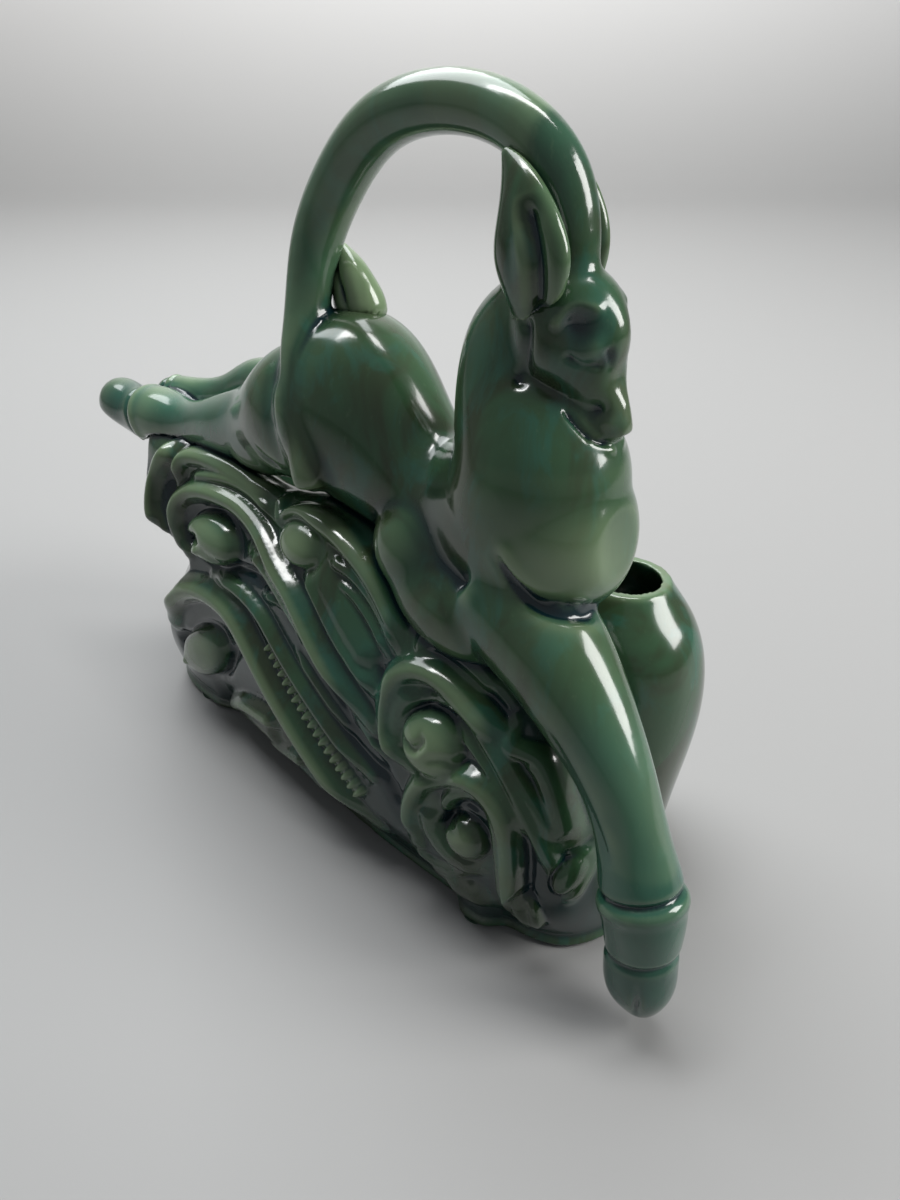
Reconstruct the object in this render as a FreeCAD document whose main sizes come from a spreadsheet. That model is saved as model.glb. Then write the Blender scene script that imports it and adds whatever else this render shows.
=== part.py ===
import FreeCAD, Part

import Sketcher
import math
import os

# A glazed earthenware television lamp: a gazelle leaps over curling waves, its one
# long horn sweeping back to the rump. Two planters stand behind the waves, and the
# lamp holder sits on a shelf between them, lighting the wall behind.
# Millimetres. +X is the way the gazelle leaps, -Y the decorated front, +Z up.
# The origin is on the table, under the middle of the lamp.

os.makedirs("parts", exist_ok=True)
doc = FreeCAD.newDocument("television_lamp")
sheet = doc.addObject("Spreadsheet::Sheet", "Sizes")
Vector = FreeCAD.Vector
RIGHT, BACK, UP = Vector(1, 0, 0), Vector(0, 1, 0), Vector(0, 0, 1)

SIZES = {
    # casting
    "wall": (5.5, "wall of the slip-cast body"),
    "foot_height": (1.0, "foot rim above the table, on its pads"),
    "pad_radius": (6.0, "felt pad"),
    # wells of the two planters
    "planter_wall": (4.5, "wall of both planters at the rim"),
    "left_floor": (16.0, "floor of the left well above the table"),
    "right_floor": (14.0, "floor of the right well above the table"),
    # shelf that carries the lamp holder
    "shelf_left": (-62.0, "left end of the shelf"),
    "shelf_length": (142.0, "shelf along X"),
    "shelf_front": (-4.0, "front of the shelf, inside the waves"),
    "shelf_depth": (50.0, "shelf along Y"),
    "shelf_top": (24.0, "top of the shelf above the table"),
    "shelf_thick": (6.0, "shelf under the lamp holder"),
    "shelf_corner": (9.0, "rear corners of the shelf"),
    "cord_hole_radius": (4.2, "bare hole for the cord in the rear wall"),
    "cord_hole_height": (11.0, "centre of the cord hole above the table"),
    "cord_hole_offset": (27.0, "cord hole beside the lamp"),
    # lamp holder
    "lamp_x": (-8.0, "lamp axis along X"),
    "lamp_y": (26.0, "lamp axis along Y"),
    "nipple_radius": (5.1, "threaded tube, over its thread"),
    "nipple_bore": (3.6, "wire way through the threaded tube"),
    "nipple_below": (9.0, "threaded tube under the shelf"),
    "nipple_grip": (7.0, "threaded tube inside the cap hub"),
    "thread_gap": (0.05, "radial clearance of a thread"),
    "washer_radius": (9.5, "steel washer"),
    "washer_thick": (1.2, "steel washer"),
    "seat_radius": (12.0, "brass seat ring under the cap"),
    "locknut_radius": (8.2, "hexagon lock nut, over its corners"),
    "locknut_thick": (3.2, "hexagon lock nut"),
    "bush_flange": (1.2, "flange of the end bush on the threaded tube"),
    "bush_wall": (0.9, "wall of the end bush"),
    "cap_wall": (0.8, "socket cap"),
    "cap_hub_radius": (7.2, "hub of the socket cap"),
    "cap_hub_height": (8.0, "hub of the socket cap"),
    "cap_flare": (6.0, "flare between the hub and the skirt"),
    "cap_skirt": (6.5, "straight skirt of the socket cap"),
    "screw_radius": (1.5, "small screws, over the thread"),
    "screw_head_radius": (2.6, "small screws, head"),
    "screw_head_height": (1.4, "small screws, head"),
    "shell_wall": (0.6, "brass socket shell"),
    "shell_height": (41.0, "brass socket shell"),
    "shell_bead": (0.9, "rolled lip of the shell"),
    "seat_gap": (0.05, "clearance between nested socket parts"),
    "liner_wall": (0.5, "fibre liner"),
    "insulator_step": (1.5, "insulator inside the rim of the screw shell"),
    "liner_space": (1.2, "between the screw shell and the liner"),
    "insulator_height": (18.0, "moulded insulator"),
    "screw_shell_space": (0.35, "between the bulb's thread and the screw shell"),
    "screw_shell_wall": (0.4, "screw shell"),
    "screw_shell_height": (20.0, "screw shell"),
    "contact_height": (2.0, "spring centre contact"),
    "contact_radius": (4.0, "spring centre contact"),
    # turn switch
    "spindle_radius": (1.6, "switch spindle"),
    "spindle_height": (9.0, "spindle above the foot of the insulator"),
    "spindle_depth": (6.0, "inner end of the spindle from the lamp axis"),
    "running_gap": (0.06, "radial clearance of the spindle"),
    "knob_radius": (5.6, "switch knob"),
    "knob_length": (12.0, "switch knob"),
    "knob_gap": (1.0, "between the shell and the knob"),
    "knob_flutes": (10, "grip flutes round the knob"),
    "flute_radius": (0.8, "grip flute"),
    # small sign bulb with a medium screw base
    "bulb_base_radius": (12.95, "screw base over its thread"),
    "bulb_base_height": (24.0, "screw base"),
    "bulb_base_wall": (0.35, "screw base"),
    "bulb_insulator_height": (3.4, "glass insulator under the base"),
    "eyelet_radius": (4.6, "centre contact of the bulb"),
    "eyelet_height": (1.0, "centre contact of the bulb"),
    "contact_clearance": (0.1, "between bulb and socket contacts"),
    "bulb_radius": (17.45, "glass at its widest"),
    "bulb_length": (34.0, "glass above the screw base"),
    "glass_wall": (0.6, "bulb glass"),
    "stem_radius": (4.2, "flared glass stem"),
    "stem_height": (17.0, "glass stem above the glass neck"),
    "lead_spread": (7.0, "between the two filament leads"),
    "lead_height": (9.0, "leads above the stem"),
    "lead_radius": (0.35, "filament leads"),
    "filament_radius": (0.3, "coiled filament"),
}

# The members of the figure: breadth across Y as a share of the depth, then one
# cross-section in each row, with its centre x, y, z and its radius.
MEMBERS = {
    "torso": (0.84, [
        (-31, -10, 163, 12), (-16, -10, 166, 25), (8, -10, 162, 34), (32, -11, 148, 26),
        (52, -11, 142, 24), (74, -12, 146, 29), (94, -13.5, 150, 30), (110, -13.5, 151, 24),
        (119.5, -13.5, 152, 11),
    ]),
    "neck": (0.88, [
        (88, -13, 148, 29), (88, -13, 162, 29.5), (84.5, -12, 176, 26), (78, -11, 187, 21),
        (76.5, -10.5, 197, 17.5), (80, -10, 207, 15), (86, -10, 213, 12.5),
    ]),
    "head": (0.84, [
        (74, -10, 217, 9), (85, -10, 214, 15.5), (97, -10, 206, 17), (104, -10, 195.5, 11),
        (109.5, -10, 187, 7), (113, -10, 181.5, 5),
    ]),
    "ear": (0.55, [
        (86, -21, 211, 4), (87.5, -22.5, 220, 7.4), (87, -23, 230, 9), (84.5, -22, 240, 7.6),
        (79.5, -19.5, 248, 4.4), (75, -18, 252.5, 1.2),
    ]),
    "horn": (1.0, [
        (88, -10, 210, 7), (93, -10, 223, 7.4), (91.5, -10, 239, 7.7), (82.5, -10, 252.5, 8),
        (64, -10, 260.8, 8.2), (42, -10, 261.5, 8.5), (20, -10, 254.5, 8.8), (3, -10, 240, 9),
        (-8, -12, 222, 8.8), (-10, -17, 203, 8), (-6, -25, 186, 7.6), (0, -32, 170, 7.2),
        (6, -36.5, 155, 6.8), (10, -39, 143, 6.2),
    ]),
    "tail": (0.8, [
        (2, -4, 186, 8), (0, -4, 197, 9), (-3, -4, 206, 7.5), (-7, -3, 213, 4.2),
        (-13, -2, 218, 1),
    ]),
    "near_hind_leg": (0.95, [
        (-8, -14, 160, 26), (-32, -17, 152, 21.5), (-56, -17, 143, 15.5),
        (-82, -17, 136, 12), (-106, -17, 131.5, 11.3), (-124, -17, 130, 13.5),
        (-136, -17, 128.5, 12.2), (-152, -17, 128, 12), (-166, -16, 129, 8.5),
        (-174, -16, 130, 3),
    ]),
    "far_hind_leg": (0.85, [
        (-12, -2, 162, 24), (-38, 1, 157, 16), (-60, 4, 152, 11.5), (-76, 5, 151, 10.5),
        (-94, 4, 143, 9), (-114, 1, 137, 8.5), (-132, -1, 134, 9), (-146, -2, 133, 4),
    ]),
    "foreleg": (0.95, [
        (84, -20, 128, 22), (100, -25, 118, 20), (116, -29, 110, 17.5),
        (131, -33, 98, 14.2), (143, -36, 84, 11.8), (151, -38, 68, 12), (157, -40, 53, 13.8),
        (159.5, -41, 40, 12.6), (161, -42, 26, 12), (163, -43, 14, 9), (164, -44, 8, 4),
    ]),
}

# The body of the waves: upright oval sections across X, each with its place along X,
# centre y, half depth, centre z and half height. The foot plane cuts it off below.
WAVE = [
    (-150, -5, 7, 76, 17), (-141, -11, 14, 76, 36), (-128, -17, 20, 70, 55),
    (-112, -20.5, 23.5, 58, 72), (-92, -21.5, 24.5, 52, 79), (-60, -21.5, 24.5, 49, 82),
    (-24, -23.5, 26.5, 46, 82), (8, -25.5, 28.5, 48, 85), (40, -26.5, 29.5, 43, 82),
    (72, -26.5, 29.5, 38, 78), (100, -26, 29, 34, 69), (120, -24, 27, 26, 56),
    (132, -20, 22.5, 18, 40), (139, -14, 12, 12, 20),
]

# The planters: level oval sections, each with its height, centre x, centre y, half
# length and half depth.
PLANTERS = {
    "right_planter": [
        (1, 99, 26, 27, 25), (24, 100, 26, 28.5, 26), (52, 101, 26, 31.5, 27.5),
        (78, 101, 26, 32.5, 28), (97, 101, 26, 28, 25), (109, 100, 27, 20, 19),
        (115, 99.5, 28, 15.5, 15),
    ],
    "left_planter": [
        (1, -80, 24, 30, 26), (30, -88, 26, 35, 29), (62, -98, 27, 39, 30.5),
        (94, -106, 28, 41, 31), (116, -108, 28, 40.5, 31), (126, -108, 28, 39.5, 30.5),
    ],
}

# The relief on the front. Each crest has its thickness and its run of points (x, z);
# its depth follows the face of the waves.
CRESTS = {
    "upper_left_scroll": [
        (5.0, [(-79, 88), (-84, 97), (-82, 108), (-74, 115), (-58, 118), (-36, 116), (-12, 107),
               (10, 96), (32, 79), (48, 69)]),
        (3.6, [(-87, 112), (-84, 123), (-72, 127), (-50, 127.5), (-26, 125)]),
        (3.6, [(-30, 103), (-14, 102), (2, 95), (20, 83), (34, 74)]),
    ],
    "lower_left_scroll": [
        (5.4, [(-98, 40), (-94, 54), (-84, 65), (-70, 72), (-52, 74), (-34, 68), (-12, 53),
               (14, 35), (38, 20)]),
        (4.0, [(-56, 83), (-40, 84.5), (-20, 81), (0, 71), (20, 60), (44, 46)]),
        (4.0, [(-62, 11), (-50, 19), (-36, 27), (-16, 32)]),
    ],
    "centre_spray": [
        (4.6, [(-12, 118), (-9, 126), (4, 129), (20, 127), (36, 120), (50, 110), (58, 101)]),
        (3.8, [(22, 118), (34, 112), (46, 103), (56, 95)]),
        (3.6, [(8, 112), (22, 101), (36, 91), (50, 82)]),
    ],
    "right_scroll": [
        (5.0, [(68, 63), (59, 70), (57, 82), (62, 94), (73, 98), (86, 95), (100, 86),
               (112, 72), (124, 52)]),
        (3.8, [(78, 90), (90, 89), (101, 80), (112, 68), (122, 50)]),
    ],
    "lower_right_scroll": [
        (4.6, [(73, 30), (73, 48), (80, 62), (92, 68.5), (104, 66), (112, 55), (115, 38), (117, 16)]),
        (3.2, [(88, 50), (91, 60), (98, 63), (106, 56), (110, 42), (112, 26)]),
    ],
    "right_leaf": [
        (3.6, [(104, 89), (111, 83), (118, 76), (125, 62)]),
        (3.2, [(117, 74), (122, 64), (127, 50)]),
    ],
}

# The rolled eye of each curl: x, z, radius and half thickness.
EYES = {
    "upper_left_scroll": (-58, 99.5, 12, 10),
    "lower_left_scroll": (-72, 36, 13, 10),
    "centre_spray": (0, 119.5, 10.5, 9),
    "right_scroll": (77.5, 73.5, 12, 9),
    "lower_right_scroll": (96, 45.5, 7.5, 7),
    "right_leaf": (124.5, 22, 5.5, 5),
}

MORE_SIZES = {
    "notch_x": (-152, "notch between the two curls of the left end"),
    "notch_z": (56, "notch above the table"),
    "notch_reach": (40, "notch, half its length along X"),
    "notch_half_height": (13, "notch, half its height"),
    "notch_depth": (90, "notch, half its depth along Y"),
    "bead_count": (18, "beads along the lower wave"),
    "bead_first_x": (-12, "first bead"),
    "bead_first_z": (69.0, "first bead"),
    "bead_last_x": (44, "last bead"),
    "bead_last_z": (34, "last bead"),
    "bead_small": (1.5, "radius of the first bead"),
    "bead_large": (2.1, "radius of the last bead"),
    "bead_gap": (0.06, "glaze line under a bead"),
    "crest_lift": (0.5, "centre line of a crest in front of the wave face"),
    "crest_taper": (0.45, "thickness of a crest's ends as a share of its middle"),
}

next_row = 1


def add_size(name, value, meaning=""):
    """Write one driving dimension into the sheet, under its own name."""
    global next_row
    sheet.set(f"A{next_row}", name)
    sheet.set(f"B{next_row}", str(value))
    sheet.set(f"C{next_row}", meaning)
    sheet.setAlias(f"B{next_row}", name)
    next_row += 1


def add_rows(name, keys, rows):
    """Write a member's numbered sections into the sheet."""
    for number, row in enumerate(rows, 1):
        for key, value in zip(keys, row):
            add_size(f"{name}_{number}_{key}", value)


for group in (SIZES, MORE_SIZES):
    for size_name, (amount, words) in group.items():
        add_size(size_name, amount, words)
for member_name, (breadth, sections) in MEMBERS.items():
    add_size(f"{member_name}_breadth", breadth, "width across Y over depth")
    add_rows(member_name, ("x", "y", "z", "radius"), sections)
add_rows("wave", ("x", "y", "half_depth", "z", "half_height"), WAVE)
for planter_name, sections in PLANTERS.items():
    add_rows(planter_name, ("z", "x", "y", "half_length", "half_depth"), sections)
for scroll_name, eye in EYES.items():
    add_rows(f"{scroll_name}_eye", ("x", "z", "radius", "half_thick"), [eye])
doc.recompute()


def size(name):
    """Read a driving dimension."""
    return float(sheet.get(name))


def table(name, keys, count):
    """Read back a member's numbered sections."""
    return [[size(f"{name}_{number}_{key}") for key in keys] for number in range(1, count + 1)]


def feature(kind, name, **expressions):
    """Add an object and bind its properties to the sheet; a dot in a property is two _."""
    made = doc.addObject(kind, name)
    for prop, expression in expressions.items():
        made.setExpression(prop.replace("__", "."), expression)
    return made


def boolean(kind, name, first, others):
    """Cut, fuse or intersect: the first shape with the others."""
    if kind != "Cut":
        made = doc.addObject(f"Part::{kind}", name)
        made.Shapes = [first] + list(others)
        return made
    for number, tool in enumerate(others, 1):
        last = number == len(others)
        made = doc.addObject("Part::Cut", name if last else f"{name}_less_{number}")
        made.Base = first
        made.Tool = tool
        first = made
    return made


def oval(name, at, radii, ways):
    """An oval section at a place, with two radii (cell expressions) along two directions.

    The larger radius goes on the ellipse's own X axis, whichever way it points.
    """
    made = doc.addObject("Part::Ellipse", name)
    made.setExpression("MajorRadius", f"max({radii[0]}; {radii[1]})")
    made.setExpression("MinorRadius", f"min({radii[0]}; {radii[1]})")
    amounts = [sheet.evalExpression(text) for text in radii]
    along, across = ways if amounts[0] >= amounts[1] else (ways[1], -ways[0])
    turn = FreeCAD.Rotation(along, across, along.cross(across), "ZXY")
    made.Placement = FreeCAD.Placement(Vector(0, 0, 0), turn)
    for axis, expression in zip("xyz", at):
        made.setExpression(f"Placement.Base.{axis}", expression)
    return made


def loft(name, sections):
    """Join oval sections into one smooth solid."""
    made = doc.addObject("Part::Loft", name)
    made.Sections = sections
    made.Solid = True
    made.MaxDegree = 3
    return made


NODES = {}


def node(label, made, placed=None):
    """Keep an object as a finished sub-part under its own label."""
    made.Label = label
    if placed is not None:
        made.Placement = placed
    NODES[label] = made
    return made


# ---- the members of the figure ----

SECTION_KEYS = ("x", "y", "z", "radius")


def member(name, mirrored=False):
    """Loft one member of the gazelle through its sections, square to its line."""
    numbers = range(1, len(MEMBERS[name][1]) + 1)
    cells = {key: [f"Sizes.{name}_{number}_{key}" for number in numbers] for key in SECTION_KEYS}
    if mirrored:
        cells["y"] = [f"2 * Sizes.head_1_y - {cell}" for cell in cells["y"]]
    stem = f"{name}_far" if mirrored else name
    line = [Vector(*(sheet.evalExpression(text) for text in place))
            for place in zip(cells["x"], cells["y"], cells["z"])]
    rings = []
    for index, radius in enumerate(cells["radius"]):
        way = (line[min(index + 1, len(line) - 1)] - line[max(index - 1, 0)]).normalize()
        across = (BACK - way * BACK.dot(way)).normalize()
        place = [cells[key][index] for key in "xyz"]
        radii = [radius, f"({radius}) * Sizes.{name}_breadth"]
        rings.append(oval(f"{stem}_ring_{index + 1}", place, radii, [across.cross(way), across]))
    return loft(f"{stem}_form", rings)


# ---- the body of the waves ----

def wave_loft(name, first, last, inset):
    """Loft the wave body, or its hollow, through upright oval sections."""
    rings = []
    for number in range(first, last + 1):
        stem = f"Sizes.wave_{number}"
        at = [f"{stem}_x", f"{stem}_y", f"{stem}_z"]
        radii = [f"{stem}_half_height{inset}", f"{stem}_half_depth{inset}"]
        rings.append(oval(f"{name}_ring_{number}", at, radii, [UP, BACK]))
    return loft(name, rings)


WAVE_ROWS = table("wave", ("x", "y", "half_depth", "z", "half_height"), len(WAVE))


def wave_face(x, z):
    """Depth (y) of the front of the waves at a place on it."""
    rows = WAVE_ROWS
    index = max(i for i in range(len(rows) - 1) if i == 0 or rows[i][0] <= x)
    low, high = rows[index], rows[index + 1]
    share = min(max((x - low[0]) / (high[0] - low[0]), 0), 1)
    y, half_depth, centre, half_height = [a + (b - a) * share for a, b in zip(low[1:], high[1:])]
    return y - half_depth * math.sqrt(max(1 - ((z - centre) / half_height) ** 2, 0.0))


notch = feature(
    "Part::Ellipsoid", "end_notch", Radius1="Sizes.notch_half_height", Radius2="Sizes.notch_reach",
    Radius3="Sizes.notch_depth", Placement__Base__x="Sizes.notch_x", Placement__Base__y="Sizes.wave_2_y",
    Placement__Base__z="Sizes.notch_z")
foot = feature("Part::Box", "foot_space", Length="600", Width="400", Height="300")
foot.setExpression("Placement.Base.x", "-300")
foot.setExpression("Placement.Base.y", "-200")
foot.setExpression("Placement.Base.z", "Sizes.foot_height")
standing = boolean("MultiCommon", "wave_standing", wave_loft("wave_form", 1, len(WAVE), ""), [foot])
wave_outer = boolean("Cut", "wave_outer", standing, [notch])
wave_hollow = wave_loft("wave_hollow", 4, len(WAVE) - 2, " - Sizes.wall")
wave_base = node("wave_base", boolean("Cut", "wave_base", wave_outer, [wave_hollow]))


# ---- planters and shelf ----

def planter_loft(name, label, first_z, inset):
    """Loft a planter, or its well, through level oval sections from a height up."""
    rings = []
    count = len(PLANTERS[label])
    for number in range(1, count + 1):
        stem = f"Sizes.{label}_{number}"
        height = f"{stem}_z"
        if number == 1:
            height = first_z
        elif inset and number == count:
            height = f"{stem}_z + Sizes.planter_wall"
        at = [f"{stem}_x", f"{stem}_y", height]
        radii = [f"{stem}_half_length{inset}", f"{stem}_half_depth{inset}"]
        rings.append(oval(f"{name}_ring_{number}", at, radii, [RIGHT, BACK]))
    return loft(name, rings)


right_outer = planter_loft("right_form", "right_planter", "Sizes.foot_height", "")
left_outer = planter_loft("left_form", "left_planter", "Sizes.foot_height", "")
right_well = planter_loft("right_well", "right_planter", "Sizes.right_floor", " - Sizes.planter_wall")
left_well = planter_loft("left_well", "left_planter", "Sizes.left_floor", " - Sizes.planter_wall")
node("right_planter", boolean("Cut", "right_planter", right_outer, [wave_outer, right_well]))
node("left_planter", boolean("Cut", "left_planter", left_outer, [wave_outer, left_well]))

shelf_block = feature(
    "Part::Box", "shelf_block", Length="Sizes.shelf_length", Width="Sizes.shelf_depth",
    Height="Sizes.shelf_top - Sizes.foot_height", Placement__Base__x="Sizes.shelf_left",
    Placement__Base__y="Sizes.shelf_front", Placement__Base__z="Sizes.foot_height")
shelf_under = feature(
    "Part::Box", "shelf_under", Length="Sizes.shelf_length - 2 * Sizes.wall",
    Width="Sizes.shelf_depth - 2 * Sizes.wall", Height="Sizes.shelf_top - Sizes.shelf_thick",
    Placement__Base__x="Sizes.shelf_left + Sizes.wall",
    Placement__Base__y="Sizes.shelf_front + Sizes.wall")
doc.recompute()
rounded = doc.addObject("Part::Fillet", "shelf_rounded")
rounded.Base = shelf_block
rear = size("shelf_front") + size("shelf_depth")
corner = min(size("shelf_corner"), size("shelf_depth") / 3)
rounded.Edges = [
    (index, corner, corner) for index, edge in enumerate(shelf_block.Shape.Edges, 1)
    if abs(edge.tangentAt(edge.FirstParameter).z) > 0.99 and edge.CenterOfMass.y > rear - 1]
LAMP = {"Placement__Base__x": "Sizes.lamp_x", "Placement__Base__y": "Sizes.lamp_y"}
nipple_hole = feature(
    "Part::Cylinder", "nipple_hole", Radius="Sizes.nipple_radius + 2 * Sizes.thread_gap",
    Height="Sizes.shelf_top * 2", **LAMP)
cord_hole = feature(
    "Part::Cylinder", "cord_hole", Radius="Sizes.cord_hole_radius", Height="Sizes.wall * 3",
    Placement__Base__x="Sizes.lamp_x + Sizes.cord_hole_offset",
    Placement__Base__y="Sizes.shelf_front + Sizes.shelf_depth - 2 * Sizes.wall",
    Placement__Base__z="Sizes.cord_hole_height")
cord_hole.Placement.Rotation = FreeCAD.Rotation(RIGHT, -90)
node("lamp_shelf", boolean("Cut", "lamp_shelf", rounded, [
    shelf_under, nipple_hole, cord_hole, wave_outer, left_outer, right_outer]))

# ---- the gazelle ----
body_form = boolean("MultiFuse", "body_form", member("torso"), [member("neck")])
gazelle_body = node("gazelle_body", boolean("Cut", "gazelle_body", body_form, [wave_outer]))
head_form = member("head")
node("gazelle_head", boolean("Cut", "gazelle_head", head_form, [body_form]))
horn_form = member("horn")
figure = boolean("MultiFuse", "figure", body_form, [head_form])
node("horn", boolean("Cut", "horn", horn_form, [figure, wave_outer]))
node("near_ear", boolean("Cut", "near_ear", member("ear"), [figure, horn_form]))
node("far_ear", boolean("Cut", "far_ear", member("ear", mirrored=True), [figure, horn_form]))
node("tail", boolean("Cut", "tail", member("tail"), [body_form, horn_form]))
near_leg = member("near_hind_leg")
node("near_hind_leg", boolean("Cut", "near_hind_leg", near_leg, [
    body_form, wave_outer, left_outer, horn_form]))
far_leg = member("far_hind_leg")
node("far_hind_leg", boolean("Cut", "far_hind_leg", far_leg, [body_form, wave_outer, near_leg]))
foreleg_form = member("foreleg")
node("foreleg", boolean("Cut", "foreleg", foreleg_form, [body_form, wave_outer, right_outer]))


# ---- the relief on the waves ----

def crest(name, thick, run):
    """Loft one rounded crest along the wave face, thinner towards both ends."""
    lift, taper = size("crest_lift"), size("crest_taper")
    line = [Vector(x, wave_face(x, z) - lift, z) for x, z in run]
    rings = []
    for index, point in enumerate(line):
        before, after = line[max(index - 1, 0)], line[min(index + 1, len(line) - 1)]
        way = (after - before).normalize()
        share = 4 * index / (len(line) - 1) * (1 - index / (len(line) - 1))
        made = doc.addObject("Part::Circle", f"{name}_ring_{index + 1}")
        made.Radius = thick * (taper + (1 - taper) * min(1, 1.4 * share))
        made.Placement = FreeCAD.Placement(point, FreeCAD.Rotation(UP, way))
        rings.append(made)
    return loft(name, rings)


def eye(name):
    """The domed eye of a curl, set into the wave face."""
    x, z, radius, half_thick = table(f"{name}_eye", ("x", "z", "radius", "half_thick"), 1)[0]
    stem = f"Sizes.{name}_eye_1"
    made = feature(
        "Part::Ellipsoid", f"{name}_eye", Radius1=f"{stem}_half_thick", Radius2=f"{stem}_radius",
        Radius3=f"{stem}_radius", Placement__Base__x=f"{stem}_x", Placement__Base__z=f"{stem}_z")
    made.Placement = FreeCAD.Placement(
        Vector(x, wave_face(x, z), z), FreeCAD.Rotation(UP, BACK))
    return made


curl_forms = {}
for scroll_name, crests in CRESTS.items():
    forms = [eye(scroll_name)]
    for number, (thick, run) in enumerate(crests, 1):
        forms.append(crest(f"{scroll_name}_crest_{number}", thick, run))
    curl_forms[scroll_name] = boolean("MultiFuse", f"{scroll_name}_form", forms[0], forms[1:])

# What each curl stops against, in the order of the cuts.
left_curl, right_curl = curl_forms["upper_left_scroll"], curl_forms["right_scroll"]
STOPS = {
    "upper_left_scroll": [wave_outer, near_leg],
    "lower_left_scroll": [wave_outer],
    "centre_spray": [body_form, near_leg, right_curl, left_curl, wave_outer],
    "right_scroll": [wave_outer, foreleg_form],
    "lower_right_scroll": [wave_outer, right_curl],
    "right_leaf": [wave_outer, right_curl, foreleg_form],
}
for scroll_name, fused in curl_forms.items():
    node(scroll_name, boolean("Cut", scroll_name, fused, STOPS[scroll_name]))

doc.recompute()


def seat_on_waves(x, z):
    """The place on the finished face of the waves in front of (x, z)."""
    probe = Part.makeLine(Vector(x, -200, z), Vector(x, 0, z))
    return Vector(x, min(vertex.Y for vertex in wave_outer.Shape.common(probe).Vertexes), z)


bead_count = int(size("bead_count"))
beads = []
for index in range(bead_count):
    share = index / max(bead_count - 1, 1)
    x = size("bead_first_x") + (size("bead_last_x") - size("bead_first_x")) * share
    z = size("bead_first_z") + (size("bead_last_z") - size("bead_first_z")) * share
    place = seat_on_waves(x, z)
    outward = (seat_on_waves(x, z + 2) - place).cross(seat_on_waves(x + 2, z) - place).normalize()
    outward = outward if outward.y < 0 else outward * -1
    bead = feature(
        "Part::Sphere", f"bead_{index + 1}",
        Radius=f"Sizes.bead_small + (Sizes.bead_large - Sizes.bead_small) * {share:.3f}")
    bead.Angle1 = 0
    bead.Placement = FreeCAD.Placement(
        place + outward * size("bead_gap"), FreeCAD.Rotation(UP, outward))
    beads.append(bead)
bead_line = doc.addObject("Part::Compound", "wave_beads")
bead_line.Links = beads
node("wave_beads", bead_line)


# ---- pads ----
pad_spots = [(-88, -34), (96, -45), (-84, 40), (100, 42)]
pads = []
for number, (x, y) in enumerate(pad_spots, 1):
    pad = feature("Part::Cylinder", f"pad_{number}", Radius="Sizes.pad_radius", Height="Sizes.foot_height")
    pad.Placement.Base = Vector(x, y, 0)
    pads.append(pad)
felt = doc.addObject("Part::Compound", "felt_pads")
felt.Links = pads
node("felt_pads", felt)


# ---- the lamp holder ----

def turned(label, profile, base_z="0", axis_turn=None, base_x="Sizes.lamp_x"):
    """A turned or spun piece: a closed profile of (radius, height) expressions, revolved."""
    body = doc.addObject("PartDesign::Body", f"{label}_body")
    sketch = body.newObject("Sketcher::SketchObject", f"{label}_profile")
    plane = next(o for o in body.Origin.OriginFeatures if o.Role == "XZ_Plane")
    sketch.AttachmentSupport = [(plane, "")]
    sketch.MapMode = "FlatFace"
    spots = [tuple(sheet.evalExpression(text) for text in point) for point in profile]
    count = len(spots)
    for index, (radius, height) in enumerate(spots):
        after = spots[(index + 1) % count]
        sketch.addGeometry(Part.LineSegment(Vector(radius, height, 0), Vector(after[0], after[1], 0)), False)
    for index in range(count):
        sketch.addConstraint(Sketcher.Constraint("Coincident", index, 2, (index + 1) % count, 1))
    for index, (point, spot) in enumerate(zip(profile, spots)):
        if spot[0] == 0:
            sketch.addConstraint(Sketcher.Constraint("PointOnObject", index, 1, -2))
        else:
            number = sketch.addConstraint(Sketcher.Constraint("DistanceX", -1, 1, index, 1, spot[0]))
            sketch.setExpression(f"Constraints[{number}]", point[0])
        if spot[1] == 0:
            sketch.addConstraint(Sketcher.Constraint("PointOnObject", index, 1, -1))
        else:
            number = sketch.addConstraint(Sketcher.Constraint("DistanceY", -1, 1, index, 1, spot[1]))
            sketch.setExpression(f"Constraints[{number}]", point[1])
    spin = body.newObject("PartDesign::Revolution", f"{label}_spin")
    spin.Profile = (sketch, [""])
    spin.ReferenceAxis = (sketch, ["V_Axis"])
    spin.Angle = 360
    if axis_turn is not None:
        body.Placement.Rotation = axis_turn
    body.setExpression("Placement.Base.x", base_x)
    body.setExpression("Placement.Base.y", "Sizes.lamp_y")
    body.setExpression("Placement.Base.z", base_z)
    return body


def sized(text):
    """Prefix every word of an expression with the sheet's name."""
    words = text.replace("(", " ( ").replace(")", " ) ").split()
    return " ".join(f"Sizes.{word}" if word[0].isalpha() else word for word in words)


def profile(*points):
    """Turn short cell expressions into a profile for turned()."""
    return [(sized(radius), sized(height)) for radius, height in points]


SHELF_UNDER = "shelf_top - shelf_thick"
CAP_FOOT = "shelf_top + washer_thick"
INSULATOR_FOOT = "cap_hub_height + cap_flare + thread_gap"
SHELL_TOP = f"{INSULATOR_FOOT} + shell_height"
CONTACT_FOOT = f"{INSULATOR_FOOT} + insulator_height"
EYELET_FOOT = f"{CONTACT_FOOT} + contact_height + contact_clearance"
BASE_FOOT = f"{EYELET_FOOT} + eyelet_height + bulb_insulator_height"
GLASS_FOOT = f"{BASE_FOOT} + bulb_base_height"
SCREW_SHELL_INNER = "bulb_base_radius + screw_shell_space"
SCREW_SHELL_OUTER = f"{SCREW_SHELL_INNER} + screw_shell_wall"
INSULATOR_OUTER = f"{SCREW_SHELL_OUTER} - insulator_step"
LINER_INNER = f"{SCREW_SHELL_OUTER} + liner_space"
LINER_OUTER = f"{LINER_INNER} + liner_wall"
SHELL_INNER = f"{LINER_OUTER} + seat_gap"
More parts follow.
